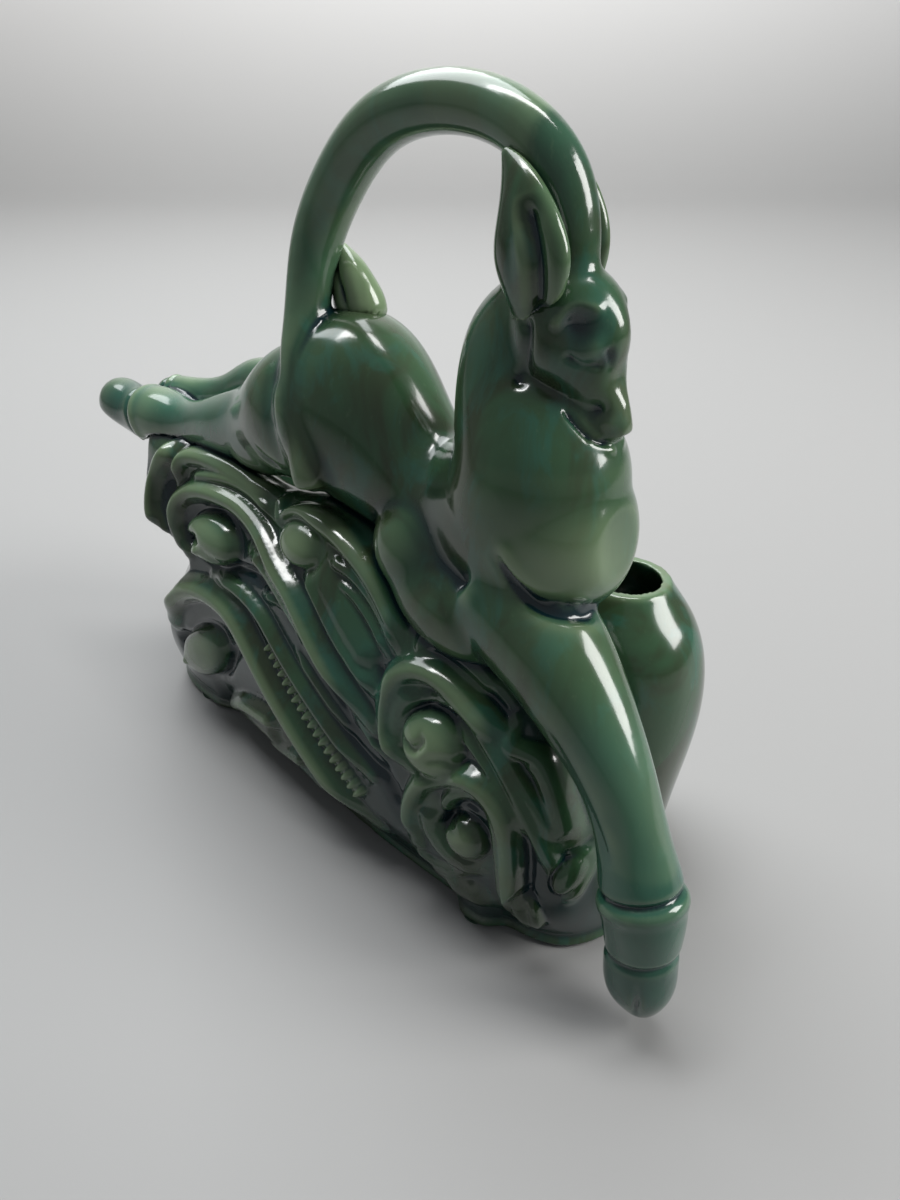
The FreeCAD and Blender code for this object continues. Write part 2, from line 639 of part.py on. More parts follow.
SHELL_OUTER = f"{SHELL_INNER} + shell_wall"
CAP_INNER = f"{SHELL_OUTER} + seat_gap"
CAP_OUTER = f"{CAP_INNER} + cap_wall"
foot_of_cap = sized(CAP_FOOT)


def ringlike(label, inner, outer, low, high, base):
    """A plain turned ring or tube on the lamp axis."""
    return turned(label, profile((inner, low), (outer, low), (outer, high), (inner, high)), base)


node("threaded_nipple", ringlike(
    "threaded_nipple", "nipple_bore", "nipple_radius", "0 - shelf_thick - nipple_below",
    "washer_thick + nipple_grip", sized("shelf_top")))
node("shelf_washer", ringlike(
    "shelf_washer", "nipple_radius + thread_gap", "washer_radius", "0 - washer_thick", "0",
    sized(SHELF_UNDER)))
node("seat_ring", ringlike(
    "seat_ring", "nipple_radius + thread_gap", "seat_radius", "0", "washer_thick", sized("shelf_top")))

nut_block = feature(
    "Part::Prism", "nut_block", Circumradius="Sizes.locknut_radius", Height="Sizes.locknut_thick",
    Placement__Base__z=sized(f"{SHELF_UNDER} - washer_thick - locknut_thick"), **LAMP)
nut_block.Polygon = 6
nut_bore = feature(
    "Part::Cylinder", "nut_bore", Radius="Sizes.nipple_radius + Sizes.thread_gap",
    Height="Sizes.shelf_top", **LAMP)
node("nipple_locknut", boolean("Cut", "nipple_locknut", nut_block, [nut_bore]))
node("nipple_bush", turned("nipple_bush", profile(
    ("nipple_bore - bush_wall", "0 - bush_flange"), ("nipple_radius", "0 - bush_flange"),
    ("nipple_radius", "0"), ("nipple_bore - seat_gap", "0"), ("nipple_bore - seat_gap", "bush_flange * 3"),
    ("nipple_bore - bush_wall", "bush_flange * 3")), sized(f"{SHELF_UNDER} - nipple_below")))

cap_spun = turned("socket_cap_spun", profile(
    ("nipple_radius + thread_gap", "0"), ("cap_hub_radius", "0"), ("cap_hub_radius", "cap_hub_height"),
    (CAP_OUTER, "cap_hub_height + cap_flare"),
    (CAP_OUTER, "cap_hub_height + cap_flare + cap_skirt"),
    (CAP_INNER, "cap_hub_height + cap_flare + cap_skirt"),
    (CAP_INNER, "cap_hub_height + cap_flare"),
    ("cap_hub_radius - cap_wall", "cap_hub_height + cap_wall"),
    ("nipple_radius + thread_gap", "cap_hub_height + cap_wall")), foot_of_cap)
SCREW_WAY = FreeCAD.Rotation(RIGHT, -90)
screw_hole = feature(
    "Part::Cylinder", "screw_hole", Radius="Sizes.screw_radius + Sizes.thread_gap",
    Height="Sizes.cap_hub_radius * 2",
    Placement__Base__z=sized(f"{CAP_FOOT} + cap_hub_height / 2"), **LAMP)
screw_hole.Placement.Rotation = SCREW_WAY
node("socket_cap", boolean("Cut", "socket_cap", cap_spun, [screw_hole]))
set_screw = turned("cap_set_screw", profile(
    ("0", "nipple_radius + thread_gap"), ("screw_radius", "nipple_radius + thread_gap"),
    ("screw_radius", "cap_hub_radius"), ("screw_head_radius", "cap_hub_radius"),
    ("screw_head_radius", "cap_hub_radius + screw_head_height"),
    ("0", "cap_hub_radius + screw_head_height")),
    sized(f"{CAP_FOOT} + cap_hub_height / 2"), SCREW_WAY)
node("cap_set_screw", set_screw)

spindle_level = f"{CAP_FOOT} + {INSULATOR_FOOT} + spindle_height"
SPINDLE_WAY = FreeCAD.Rotation(BACK, 90)


def spindle_hole(name, radius):
    """A hole along the switch spindle's axis."""
    made = feature(
        "Part::Cylinder", name, Radius=sized(radius), Height=sized(f"( {CAP_OUTER} ) * 2"),
        Placement__Base__z=sized(spindle_level), **LAMP)
    made.Placement.Rotation = SPINDLE_WAY
    return made


insulator_spun = ringlike(
    "insulator_spun", "nipple_bore", INSULATOR_OUTER, "0", "insulator_height",
    sized(f"{CAP_FOOT} + {INSULATOR_FOOT}"))
flange = ringlike(
    "insulator_flange", "nipple_bore", LINER_INNER + " - seat_gap", "insulator_height - washer_thick",
    "insulator_height", sized(f"{CAP_FOOT} + {INSULATOR_FOOT}"))
insulator_form = boolean("MultiFuse", "insulator_form", insulator_spun, [flange])
node("socket_insulator", boolean("Cut", "socket_insulator", insulator_form, [
    spindle_hole("insulator_bore", "spindle_radius + running_gap")]))
liner = ringlike("liner_spun", LINER_INNER, LINER_OUTER, INSULATOR_FOOT,
                 f"{SHELL_TOP} - shell_bead", foot_of_cap)
liner_hole = spindle_hole("liner_hole", "spindle_radius * 1.5")
node("fibre_liner", boolean("Cut", "fibre_liner", liner, [liner_hole]))
shell_spun = turned("shell_spun", profile(
    (SHELL_INNER, INSULATOR_FOOT), (SHELL_OUTER, INSULATOR_FOOT),
    (SHELL_OUTER, f"{SHELL_TOP} - shell_bead * 2"),
    (f"{SHELL_OUTER} + shell_bead", f"{SHELL_TOP} - shell_bead * 2"),
    (f"{SHELL_OUTER} + shell_bead", SHELL_TOP), (SHELL_INNER, SHELL_TOP)), foot_of_cap)
node("socket_shell", boolean("Cut", "socket_shell", shell_spun, [
    spindle_hole("shell_hole", "spindle_radius * 1.7")]))
node("screw_shell", turned("screw_shell", profile(
    ("contact_radius + screw_head_radius", CONTACT_FOOT), (SCREW_SHELL_OUTER, CONTACT_FOOT),
    (SCREW_SHELL_OUTER, f"{CONTACT_FOOT} + screw_shell_height"),
    (SCREW_SHELL_INNER, f"{CONTACT_FOOT} + screw_shell_height"),
    (SCREW_SHELL_INNER, f"{CONTACT_FOOT} + screw_shell_wall"),
    ("contact_radius + screw_head_radius", f"{CONTACT_FOOT} + screw_shell_wall")), foot_of_cap))
node("centre_contact", turned("centre_contact", profile(
    ("0", CONTACT_FOOT), ("contact_radius", CONTACT_FOOT),
    ("contact_radius", f"{CONTACT_FOOT} + contact_height / 2"),
    ("contact_radius / 2", f"{CONTACT_FOOT} + contact_height"), ("0", f"{CONTACT_FOOT} + contact_height")),
    foot_of_cap))

terminals = []
for side, way in (("front", FreeCAD.Rotation(RIGHT, 90)), ("back", FreeCAD.Rotation(RIGHT, -90))):
    terminals.append(turned(f"terminal_{side}", profile(
        ("0", INSULATOR_OUTER), ("screw_head_radius", INSULATOR_OUTER),
        ("screw_head_radius", f"{INSULATOR_OUTER} + screw_head_height"),
        ("0", f"{INSULATOR_OUTER} + screw_head_height")), sized(spindle_level), way))
terminal_pair = doc.addObject("Part::Compound", "terminal_screws")
terminal_pair.Links = terminals
node("terminal_screws", terminal_pair)

# turn switch
KNOB_START = f"{CAP_OUTER} + knob_gap"
node("switch_spindle", turned("switch_spindle", profile(
    ("0", "spindle_depth"), ("spindle_radius", "spindle_depth"),
    ("spindle_radius", f"{KNOB_START} + knob_length / 2"), ("0", f"{KNOB_START} + knob_length / 2")),
    sized(spindle_level), SPINDLE_WAY))
knob_turned = turned("knob_turned", profile(
    ("spindle_radius", KNOB_START), ("knob_radius - flute_radius", KNOB_START),
    ("knob_radius", f"{KNOB_START} + flute_radius"),
    ("knob_radius - flute_radius / 2", f"{KNOB_START} + knob_length - flute_radius"),
    ("knob_radius - 2 * flute_radius", f"{KNOB_START} + knob_length"),
    ("0", f"{KNOB_START} + knob_length"), ("0", f"{KNOB_START} + knob_length / 2"),
    ("spindle_radius", f"{KNOB_START} + knob_length / 2")), sized(spindle_level), SPINDLE_WAY)
flutes = []
for index in range(int(size("knob_flutes"))):
    turn = 2 * math.pi * index / int(size("knob_flutes"))
    flute = feature(
        "Part::Cylinder", f"flute_{index + 1}", Radius="Sizes.flute_radius", Height="Sizes.knob_length * 2",
        Placement__Base__x=sized(f"lamp_x + {KNOB_START}") + " - 1",
        Placement__Base__y=f"Sizes.lamp_y + Sizes.knob_radius * {math.cos(turn):.5f}",
        Placement__Base__z=f"{sized(spindle_level)} + Sizes.knob_radius * {math.sin(turn):.5f}")
    flute.Placement.Rotation = SPINDLE_WAY
    flutes.append(flute)
node("switch_knob", boolean("Cut", "switch_knob", knob_turned, flutes))

# ---- the bulb ----
node("bulb_contact", turned("bulb_contact", profile(
    ("0", EYELET_FOOT), ("eyelet_radius", EYELET_FOOT),
    ("eyelet_radius", f"{EYELET_FOOT} + eyelet_height"),
    ("bulb_base_radius * 0.55", f"{EYELET_FOOT} + eyelet_height"),
    ("bulb_base_radius * 0.85", BASE_FOOT), ("0", BASE_FOOT)), foot_of_cap))
node("bulb_screw_base", turned("bulb_screw_base", profile(
    ("bulb_base_radius * 0.85", BASE_FOOT), ("bulb_base_radius", f"{BASE_FOOT} + glass_wall * 3"),
    ("bulb_base_radius", GLASS_FOOT), ("bulb_base_radius - bulb_base_wall", GLASS_FOOT),
    ("bulb_base_radius - bulb_base_wall", f"{BASE_FOOT} + glass_wall * 3 + bulb_base_wall"),
    ("bulb_base_radius * 0.85 - bulb_base_wall", f"{BASE_FOOT} + bulb_base_wall"),
    ("eyelet_radius", f"{BASE_FOOT} + bulb_base_wall"), ("eyelet_radius", BASE_FOOT)), foot_of_cap))
# The glass: share of its length above the base, and share of its widest radius.
GLASS = [(0, 0.73), (0.12, 0.735), (0.28, 0.85), (0.44, 0.98), (0.58, 0.995), (0.76, 0.86),
         (0.9, 0.6), (0.98, 0.27)]


def glass_loft(name, inset, base_gap):
    """Loft the bulb's glass, or the space inside it."""
    rings = []
    for index, (up, out) in enumerate(GLASS):
        made = feature(
            "Part::Circle", f"{name}_ring_{index + 1}",
            Radius=f"Sizes.bulb_radius * {out} - {inset}",
            Placement__Base__z=f"{foot_of_cap} + {sized(GLASS_FOOT)} + Sizes.bulb_length * {up} - {base_gap}", **LAMP)
        rings.append(made)
    return loft(name, rings)


glass_outer = glass_loft("glass_outer", "0", "0")
glass_inner = glass_loft("glass_inner", "Sizes.glass_wall", "Sizes.glass_wall")
node("bulb_glass", boolean("Cut", "bulb_glass", glass_outer, [glass_inner]))
node("bulb_stem", turned("bulb_stem", profile(
    ("0", GLASS_FOOT), ("bulb_radius * 0.73 - 2 * glass_wall", GLASS_FOOT),
    ("stem_radius", f"{GLASS_FOOT} + stem_height / 4"),
    ("stem_radius / 2", f"{GLASS_FOOT} + stem_height"), ("0", f"{GLASS_FOOT} + stem_height")), foot_of_cap))

lead_top = f"{foot_of_cap} + {sized(GLASS_FOOT + ' + stem_height + lead_height')}"
lead_foot = f"{foot_of_cap} + {sized(GLASS_FOOT + ' + stem_height')}"
wires = []
for side in (-1, 1):
    lead = feature(
        "Part::Cylinder", f"lead_{'left' if side < 0 else 'right'}", Radius="Sizes.lead_radius",
        Height="Sizes.lead_height + 2 * Sizes.lead_radius",
        Placement__Base__x=f"Sizes.lamp_x + {side} * Sizes.stem_radius / 2 * 0.7",
        Placement__Base__y="Sizes.lamp_y", Placement__Base__z=f"{lead_foot} - 2 * Sizes.lead_radius")
    wires.append(lead)
coil = feature(
    "Part::Cylinder", "filament_bar", Radius="Sizes.lead_radius", Height="Sizes.stem_radius * 0.7",
    Placement__Base__x="Sizes.lamp_x - Sizes.stem_radius * 0.35", Placement__Base__y="Sizes.lamp_y",
    Placement__Base__z=lead_top)
coil.Placement.Rotation = SPINDLE_WAY
filament_form = boolean("MultiFuse", "filament_form", wires[0], [wires[1], coil])
node("bulb_filament", boolean("Cut", "bulb_filament", filament_form, [doc.getObject("bulb_stem_body")]))

# ---- check and write ----
doc.recompute()
for made in doc.Objects:
    if "Invalid" in made.State or "Error" in made.State:
        raise RuntimeError(f"{made.Label} did not build: {made.State}")
for label, made in NODES.items():
    shape = made.Shape
    if shape.isNull() or not shape.isValid() or not shape.Solids:
        raise RuntimeError(f"{label} is not a valid solid")
for label, made in NODES.items():
    made.Shape.exportStep(f"parts/{label}.step")
    box = made.Shape.BoundBox
    print(f"{label}: {len(made.Shape.Solids)} solids, {made.Shape.Volume:.0f} mm3, "
          f"x {box.XMin:.0f}..{box.XMax:.0f} y {box.YMin:.0f}..{box.YMax:.0f} z {box.ZMin:.0f}..{box.ZMax:.0f}")
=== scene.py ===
import math

import bmesh
import bpy
import numpy as np
from mathutils import Matrix, Vector
from mathutils.bvhtree import BVHTree


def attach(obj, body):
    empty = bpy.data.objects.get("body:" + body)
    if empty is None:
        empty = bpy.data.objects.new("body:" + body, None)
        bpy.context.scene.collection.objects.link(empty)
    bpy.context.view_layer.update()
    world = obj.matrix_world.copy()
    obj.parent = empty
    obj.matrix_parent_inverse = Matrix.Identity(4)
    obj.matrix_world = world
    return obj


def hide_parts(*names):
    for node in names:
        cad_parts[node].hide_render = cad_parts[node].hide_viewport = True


# A glazed earthenware television lamp: a gazelle leaping over curling waves.
# The casting is sculpted from the frame's own solids: they are welded, remeshed,
# smoothed and then carved; the lamp holder keeps its turned pieces.
# Metres. MM turns a size in millimetres into the frame's unit.

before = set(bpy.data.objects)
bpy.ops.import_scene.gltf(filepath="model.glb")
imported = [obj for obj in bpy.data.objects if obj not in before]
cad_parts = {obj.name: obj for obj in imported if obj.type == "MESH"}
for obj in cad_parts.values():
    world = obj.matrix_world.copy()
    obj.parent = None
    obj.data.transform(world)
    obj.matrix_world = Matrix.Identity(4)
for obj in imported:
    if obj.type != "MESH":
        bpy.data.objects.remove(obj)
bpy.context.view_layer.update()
MM = 0.001
HEAD_MIDDLE = -10.0  # y of the plane that halves the head
FIGURE_TRIANGLES = 188000
WAVE_TRIANGLES = 190000


# ---------------------------------------------------------------- mesh helpers

def place_object(name, data):
    """Make an object at the origin from a mesh, a light or a camera, and put it in the scene."""
    made = bpy.data.objects.new(name, data)
    bpy.context.scene.collection.objects.link(made)
    return made


def object_from(name, bm):
    """Close a bmesh into a new object."""
    mesh = bpy.data.meshes.new(name)
    bm.to_mesh(mesh)
    bm.free()
    return place_object(name, mesh)


def welded_copy(*nodes):
    """One bmesh holding merged copies of some of the frame's solids."""
    bm = bmesh.new()
    for node in nodes:
        bm.from_mesh(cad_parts[node].data)
    bmesh.ops.remove_doubles(bm, verts=bm.verts, dist=0.01 * MM)
    return bm


def apply_modifiers(made):
    """Bake an object's modifiers into its mesh."""
    graph = bpy.context.evaluated_depsgraph_get()
    mesh = bpy.data.meshes.new_from_object(made.evaluated_get(graph))
    made.modifiers.clear()
    old = made.data
    made.data = mesh
    bpy.data.meshes.remove(old)
    mesh.name = made.name
    return made


def remesh(made, voxel, smoothing):
    """Weld everything in an object into one skin of even small faces, then smooth it."""
    skin = made.modifiers.new("skin", "REMESH")
    skin.mode = "VOXEL"
    skin.voxel_size = voxel * MM
    skin.use_smooth_shade = True
    soften = made.modifiers.new("soften", "SMOOTH")
    soften.iterations = smoothing
    soften.factor = 0.5
    return apply_modifiers(made)


def smooth_shade(made):
    """Shade every face smooth."""
    made.data.polygons.foreach_set("use_smooth", [True] * len(made.data.polygons))


def points_of(made):
    """An object's vertices as an array, in millimetres."""
    flat = np.empty(len(made.data.vertices) * 3, np.float32)
    made.data.vertices.foreach_get("co", flat)
    return flat.reshape(-1, 3).astype(float) / MM


def normals_of(made):
    """An object's vertex normals as an array."""
    flat = np.empty(len(made.data.vertices) * 3, np.float32)
    made.data.vertex_normals.foreach_get("vector", flat)
    return flat.reshape(-1, 3).astype(float)


def move_points(made, points):
    """Write vertices back, from millimetres."""
    made.data.vertices.foreach_set("co", (points * MM).astype(np.float32).ravel())
    made.data.update()


def paint(made, name, values):
    """Keep one number for each vertex, for the glaze to read."""
    layer = made.data.attributes.get(name) or made.data.attributes.new(name, "FLOAT", "POINT")
    layer.data.foreach_set("value", np.clip(values, 0, 1).astype(np.float32))


def slimmed(made, most):
    """Thin a mesh to about a number of triangles, and shade it smooth."""
    slim = made.modifiers.new("slim", "DECIMATE")
    slim.ratio = min(1.0, most / (2 * len(made.data.polygons)))
    apply_modifiers(made)
    smooth_shade(made)


def nearest_on_line(points, line):
    """Distance from each point to a line of straight runs, and how far along it that is (0 to 1)."""
    line = np.asarray(line, float)
    lengths = np.linalg.norm(np.diff(line, axis=0), axis=1)
    starts = np.concatenate([[0], np.cumsum(lengths)])
    best = np.full(len(points), np.inf)
    along = np.zeros(len(points))
    for index, length in enumerate(lengths):
        way = (line[index + 1] - line[index]) / max(length, 1e-9)
        reach = np.clip((points - line[index]) @ way, 0, length)
        gap = np.linalg.norm(points - line[index] - reach[:, None] * way, axis=1)
        closer = gap < best
        best[closer] = gap[closer]
        along[closer] = (starts[index] + reach[closer]) / starts[-1]
    return best, along


def curve_through(points, steps=6):
    """A smooth line through a few points."""
    points = [np.asarray(point, float) for point in points]
    ends = [2 * points[0] - points[1]] + points + [2 * points[-1] - points[-2]]
    line = []
    for a, b, c, d in zip(ends, ends[1:], ends[2:], ends[3:]):
        for step in range(steps):
            share = step / steps
            line.append(0.5 * (2 * b + (c - a) * share + (2 * a - 5 * b + 4 * c - d) * share ** 2
                               + (3 * b - a - 3 * c + d) * share ** 3))
    line.append(points[-1])
    return np.array(line)


def neighbour_table(made):
    """The two ends of each edge, as index arrays."""
    pairs = np.empty(len(made.data.edges) * 2, np.int32)
    made.data.edges.foreach_get("vertices", pairs)
    return pairs.reshape(-1, 2)


def spread(values, pairs, rounds):
    """Average values (or vectors) over each vertex's neighbours, some rounds."""
    count = np.bincount(pairs.ravel(), minlength=len(values)).astype(float)
    count[count == 0] = 1
    for _ in range(rounds):
        total = np.zeros_like(values)
        np.add.at(total, pairs[:, 0], values[pairs[:, 1]])
        np.add.at(total, pairs[:, 1], values[pairs[:, 0]])
        values = total / (count[:, None] if values.ndim > 1 else count)
    return values


def paint_hollows(made, rounds=10, depth=0.6):
    """Find hollows and ridges: how far a vertex lies under or over its smoothed surroundings."""
    points = points_of(made)
    pairs = neighbour_table(made)
    lift = np.einsum("ij,ij->i", points - spread(points, pairs, rounds), normals_of(made))
    lift = spread(lift, pairs, 2)
    paint(made, "hollow", -lift / depth)
    paint(made, "ridge", lift / depth)


# ---------------------------------------------------------------- materials

def value_node(tree, kind, **settings):
    """Add a shader node and set its own properties."""
    made = tree.nodes.new(kind)
    for name, value in settings.items():
        setattr(made, name, value)
    return made


def glaze_tones_group():
    """The glaze's colour, roughness and surface: green that runs from olive to teal,
    pools blue-black in hollows and breaks pale on ridges, and carries the painted shade
    and painted highlights laid in its dark, pale and hollow attributes."""
    group = bpy.data.node_groups.new("glaze_tones", "ShaderNodeTree")
    face = group.interface
    for name, kind, default in (
            ("Olive", "NodeSocketColor", (0.026, 0.044, 0.019, 1)),
            ("Green", "NodeSocketColor", (0.029, 0.075, 0.034, 1)),
            ("Teal", "NodeSocketColor", (0.022, 0.110, 0.080, 1)),
            ("Pale", "NodeSocketColor", (0.18, 0.26, 0.14, 1)),
            ("Pool", "NodeSocketColor", (0.003, 0.017, 0.022, 1)),
            ("Patch Size", "NodeSocketFloat", 34.0),
            ("Pooling", "NodeSocketFloat", 1.0),
            ("Breaking", "NodeSocketFloat", 0.6)):
        socket = face.new_socket(name=name, in_out="INPUT", socket_type=kind)
        socket.default_value = default
    face.new_socket(name="Color", in_out="OUTPUT", socket_type="NodeSocketColor")
    face.new_socket(name="Roughness", in_out="OUTPUT", socket_type="NodeSocketFloat")
    face.new_socket(name="Height", in_out="OUTPUT", socket_type="NodeSocketFloat")
    nodes, link = group.nodes, group.links.new
    given = nodes.new("NodeGroupInput")
    out = nodes.new("NodeGroupOutput")
    where = nodes.new("ShaderNodeTexCoord")

    def noise(scale, detail, distortion=0.0, roughness=0.55):
        made = nodes.new("ShaderNodeTexNoise")
        made.inputs["Scale"].default_value = scale
        made.inputs["Detail"].default_value = detail
        made.inputs["Distortion"].default_value = distortion
        made.inputs["Roughness"].default_value = roughness
        link(run.outputs["Vector"], made.inputs["Vector"])
        return made

    run = nodes.new("ShaderNodeMapping")
    run.inputs["Scale"].default_value = (1.0, 1.0, 0.45)
    link(where.outputs["Object"], run.inputs["Vector"])

    def step(source, low, high):
        made = nodes.new("ShaderNodeMapRange")
        made.interpolation_type = "SMOOTHSTEP"
        made.inputs["From Min"].default_value = low
        made.inputs["From Max"].default_value = high
        link(source, made.inputs["Value"])
        return made.outputs["Result"]

    def mix(amount, first, second):
        made = nodes.new("ShaderNodeMix")
        made.data_type = "RGBA"
        link(amount, made.inputs[0])
        link(first, made.inputs[6])
        link(second, made.inputs[7])
        return made.outputs[2]

    def times(first, second):
        made = nodes.new("ShaderNodeMath")
        made.operation = "MULTIPLY"
        made.use_clamp = True
        link(first, made.inputs[0])
        if isinstance(second, float):
            made.inputs[1].default_value = second
        else:
            link(second, made.inputs[1])
        return made.outputs[0]

    def attribute(name):
        made = nodes.new("ShaderNodeAttribute")
        made.attribute_name = name
        return made.outputs["Fac"]

    patches = noise(1.0, 3, 1.2)
    link(given.outputs["Patch Size"], patches.inputs["Scale"])
    drift = noise(75, 4, 0.6)
    fine = noise(420, 3)
    colour = mix(step(patches.outputs["Fac"], 0.38, 0.60), given.outputs["Olive"], given.outputs["Green"])
    teal_patch = times(step(drift.outputs["Fac"], 0.50, 0.66), 0.50)
    colour = mix(teal_patch, colour, given.outputs["Teal"])
    colour = mix(attribute("teal"), colour, given.outputs["Teal"])
    # the pale attribute holds pale glaze, and painted highlights on the chest and the muzzle
    colour = mix(attribute("pale"), colour, given.outputs["Pale"])
    breaking = times(step(attribute("ridge"), 0.12, 1.0), given.outputs["Breaking"])
    colour = mix(breaking, colour, given.outputs["Pale"])
    speck = times(step(fine.outputs["Fac"], 0.60, 0.80), 0.08)
    colour = mix(speck, colour, given.outputs["Pale"])
    # pooling in hollows is the glaze's own; near the joins between pieces it is also painted shade, and on
    # the waves' turned-away left end it is painted shade
    pooling = times(step(attribute("hollow"), 0.08, 0.8), given.outputs["Pooling"])
    colour = mix(pooling, colour, given.outputs["Pool"])
    # the dark attribute holds the dark glaze of the hooves, and painted shade in the face's hollows and on
    # the flank
    colour = mix(attribute("dark"), colour, given.outputs["Pool"])
    link(colour, out.inputs["Color"])

    rough = nodes.new("ShaderNodeMapRange")
    rough.inputs["To Min"].default_value = 0.10
    rough.inputs["To Max"].default_value = 0.24
    link(drift.outputs["Fac"], rough.inputs["Value"])
    link(rough.outputs["Result"], out.inputs["Roughness"])
    skin = nodes.new("ShaderNodeMath")
    skin.operation = "MULTIPLY_ADD"
    skin.inputs[1].default_value = 0.25
    link(fine.outputs["Fac"], skin.inputs[0])
    link(drift.outputs["Fac"], skin.inputs[2])
    link(skin.outputs[0], out.inputs["Height"])
    return group


GLAZE_TONES = glaze_tones_group()


def glaze(name, bump=0.10, **tones):
    """A glossy glaze with its own tones."""
    made = bpy.data.materials.new(name)
    made.use_nodes = True
    tree = made.node_tree
    shader = tree.nodes["Principled BSDF"]
    shader.inputs["IOR"].default_value = 1.52
    shader.inputs["Coat Weight"].default_value = 0.35
    shader.inputs["Coat Roughness"].default_value = 0.03
    tone = value_node(tree, "ShaderNodeGroup", node_tree=GLAZE_TONES)
    for socket, value in tones.items():
        tone.inputs[socket.replace("_", " ")].default_value = value
    surface = value_node(tree, "ShaderNodeBump")
    surface.inputs["Strength"].default_value = bump
    surface.inputs["Distance"].default_value = 0.4 * MM
    tree.links.new(tone.outputs["Color"], shader.inputs["Base Color"])
    tree.links.new(tone.outputs["Roughness"], shader.inputs["Roughness"])
    tree.links.new(tone.outputs["Height"], surface.inputs["Height"])
    tree.links.new(surface.outputs["Normal"], shader.inputs["Normal"])
    return made


def plain_finish(name, base, rough, metallic=0.0, grain=300.0, contrast=0.25, bump=0.05, stretch=(1, 1, 1)):
    """A finish with small variation in colour, roughness and surface."""
    made = bpy.data.materials.new(name)
    made.use_nodes = True
    tree = made.node_tree
    shader = tree.nodes["Principled BSDF"]
    shader.inputs["Metallic"].default_value = metallic
    where = value_node(tree, "ShaderNodeTexCoord")
    turn = value_node(tree, "ShaderNodeMapping")
    turn.inputs["Scale"].default_value = stretch
    grainy = value_node(tree, "ShaderNodeTexNoise")
    grainy.inputs["Scale"].default_value = grain
    grainy.inputs["Detail"].default_value = 5
    shade = value_node(tree, "ShaderNodeValToRGB")
    dark = [channel * (1 - contrast) for channel in base]
    light = [min(channel * (1 + contrast), 1) for channel in base]
    shade.color_ramp.elements[0].color = (*dark, 1)
    shade.color_ramp.elements[1].color = (*light, 1)
    shade.color_ramp.elements[0].position = 0.3
    shade.color_ramp.elements[1].position = 0.7
    dull = value_node(tree, "ShaderNodeMapRange")
    dull.inputs["To Min"].default_value = rough * 0.7
    dull.inputs["To Max"].default_value = rough * 1.3
    surface = value_node(tree, "ShaderNodeBump")
    surface.inputs["Strength"].default_value = bump
    surface.inputs["Distance"].default_value = 0.2 * MM
    tree.links.new(where.outputs["Object"], turn.inputs["Vector"])
    tree.links.new(turn.outputs["Vector"], grainy.inputs["Vector"])
    tree.links.new(grainy.outputs["Fac"], shade.inputs["Fac"])
    tree.links.new(grainy.outputs["Fac"], dull.inputs["Value"])
    tree.links.new(grainy.outputs["Fac"], surface.inputs["Height"])
    tree.links.new(shade.outputs["Color"], shader.inputs["Base Color"])
    tree.links.new(dull.outputs["Result"], shader.inputs["Roughness"])
    tree.links.new(surface.outputs["Normal"], shader.inputs["Normal"])
    return made


def dress(node, material):
    """Give one of the frame's own solids a material."""
    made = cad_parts[node]
    made.data.materials.clear()
    made.data.materials.append(material)


# ---------------------------------------------------------------- carving

def step_up(values, low, high):
    """A smooth step from 0 at low to 1 at high."""
    share = np.clip((values - low) / (high - low), 0, 1)
    return share * share * (3 - 2 * share)


def stamp(points, normals, centre, radius, height):
    """Raise (or sink, under zero) a round spot."""
    gap = np.linalg.norm(points - np.array(centre), axis=1) / radius
    return points + normals * (height * np.exp(-gap ** 2))[:, None]


def engrave(points, normals, line, width, height):
    """Raise (or sink, under zero) a band along a line in space, fading at its ends."""
    gap, along = nearest_on_line(points, curve_through(line))
    fade = step_up(along, 0.0, 0.18) * step_up(1 - along, 0.0, 0.18)
    return points + normals * (height * np.exp(-(gap / width) ** 2) * fade)[:, None]


def near_side(place):
    """A place on the near half of the head, as it is."""
    return place


def other_side(place):
    """The same place on the far half of the head."""
    return (place[0], 2 * HEAD_MIDDLE - place[1], place[2])


def carve(points, normals, marks, side=near_side):
    """Carve marks one after the other: one place is a round spot, more are a band."""
    for places, width, height in marks:
        places = [side(place) for place in places]
        if len(places) == 1:
            points = stamp(points, normals, places[0], width, height)
        else:
            points = engrave(points, normals, places, width, height)
    return points


def rings(points, normals, bands):
    """Raise (or sink) rings round a limb, each where a plane crosses it."""
    for centre, way, width, height, reach in bands:
        centre, way = np.array(centre, float), np.array(way, float)
        way = way / np.linalg.norm(way)
        off = (points - centre) @ way
        near = np.linalg.norm(points - centre, axis=1) < reach
        points = points + normals * (height * np.exp(-(off / width) ** 2) * near)[:, None]
    return points


def surface_tree(*made):
    """A search tree over some objects' faces, in millimetres."""
    spots, faces = [], []
    for piece in made:
        start = len(spots)
        spots += [tuple(spot) for spot in points_of(piece)]
        faces += [tuple(start + corner for corner in face.vertices) for face in piece.data.polygons]
    return BVHTree.FromPolygons(spots, faces)


def pool_and_painted_shade_near(made, tree, reach, strength=1.0):
    """Let the glaze pool where a piece meets the others; this darkening in the join is also painted shade."""
    points = points_of(made)
    pooled = np.zeros(len(points))
    for index, spot in enumerate(points):
        hit = tree.find_nearest(Vector(spot), reach)
        if hit[0] is not None:
            pooled[index] = strength * (1 - hit[3] / reach)
    layer = made.data.attributes.get("hollow")
    had = np.empty(len(points), np.float32)
    layer.data.foreach_get("value", had)
    paint(made, "hollow", np.maximum(had, pooled))


# ---------------------------------------------------------------- the gazelle

BODY_NODES = ("gazelle_body", "gazelle_head", "near_hind_leg", "far_hind_leg", "foreleg", "horn")
# Soft masses that the members sink into: middle, half lengths and tilt across the lamp.
MASSES = [
    ((68, -25, 117), (30, 20, 18), 24),
    ((53, -24, 129), (22, 18, 18), 20),
    ((-30, -20, 146), (34, 15, 15), -14),
    ((0, -35, 158), (6.4, 6.6, 21), -18),
]


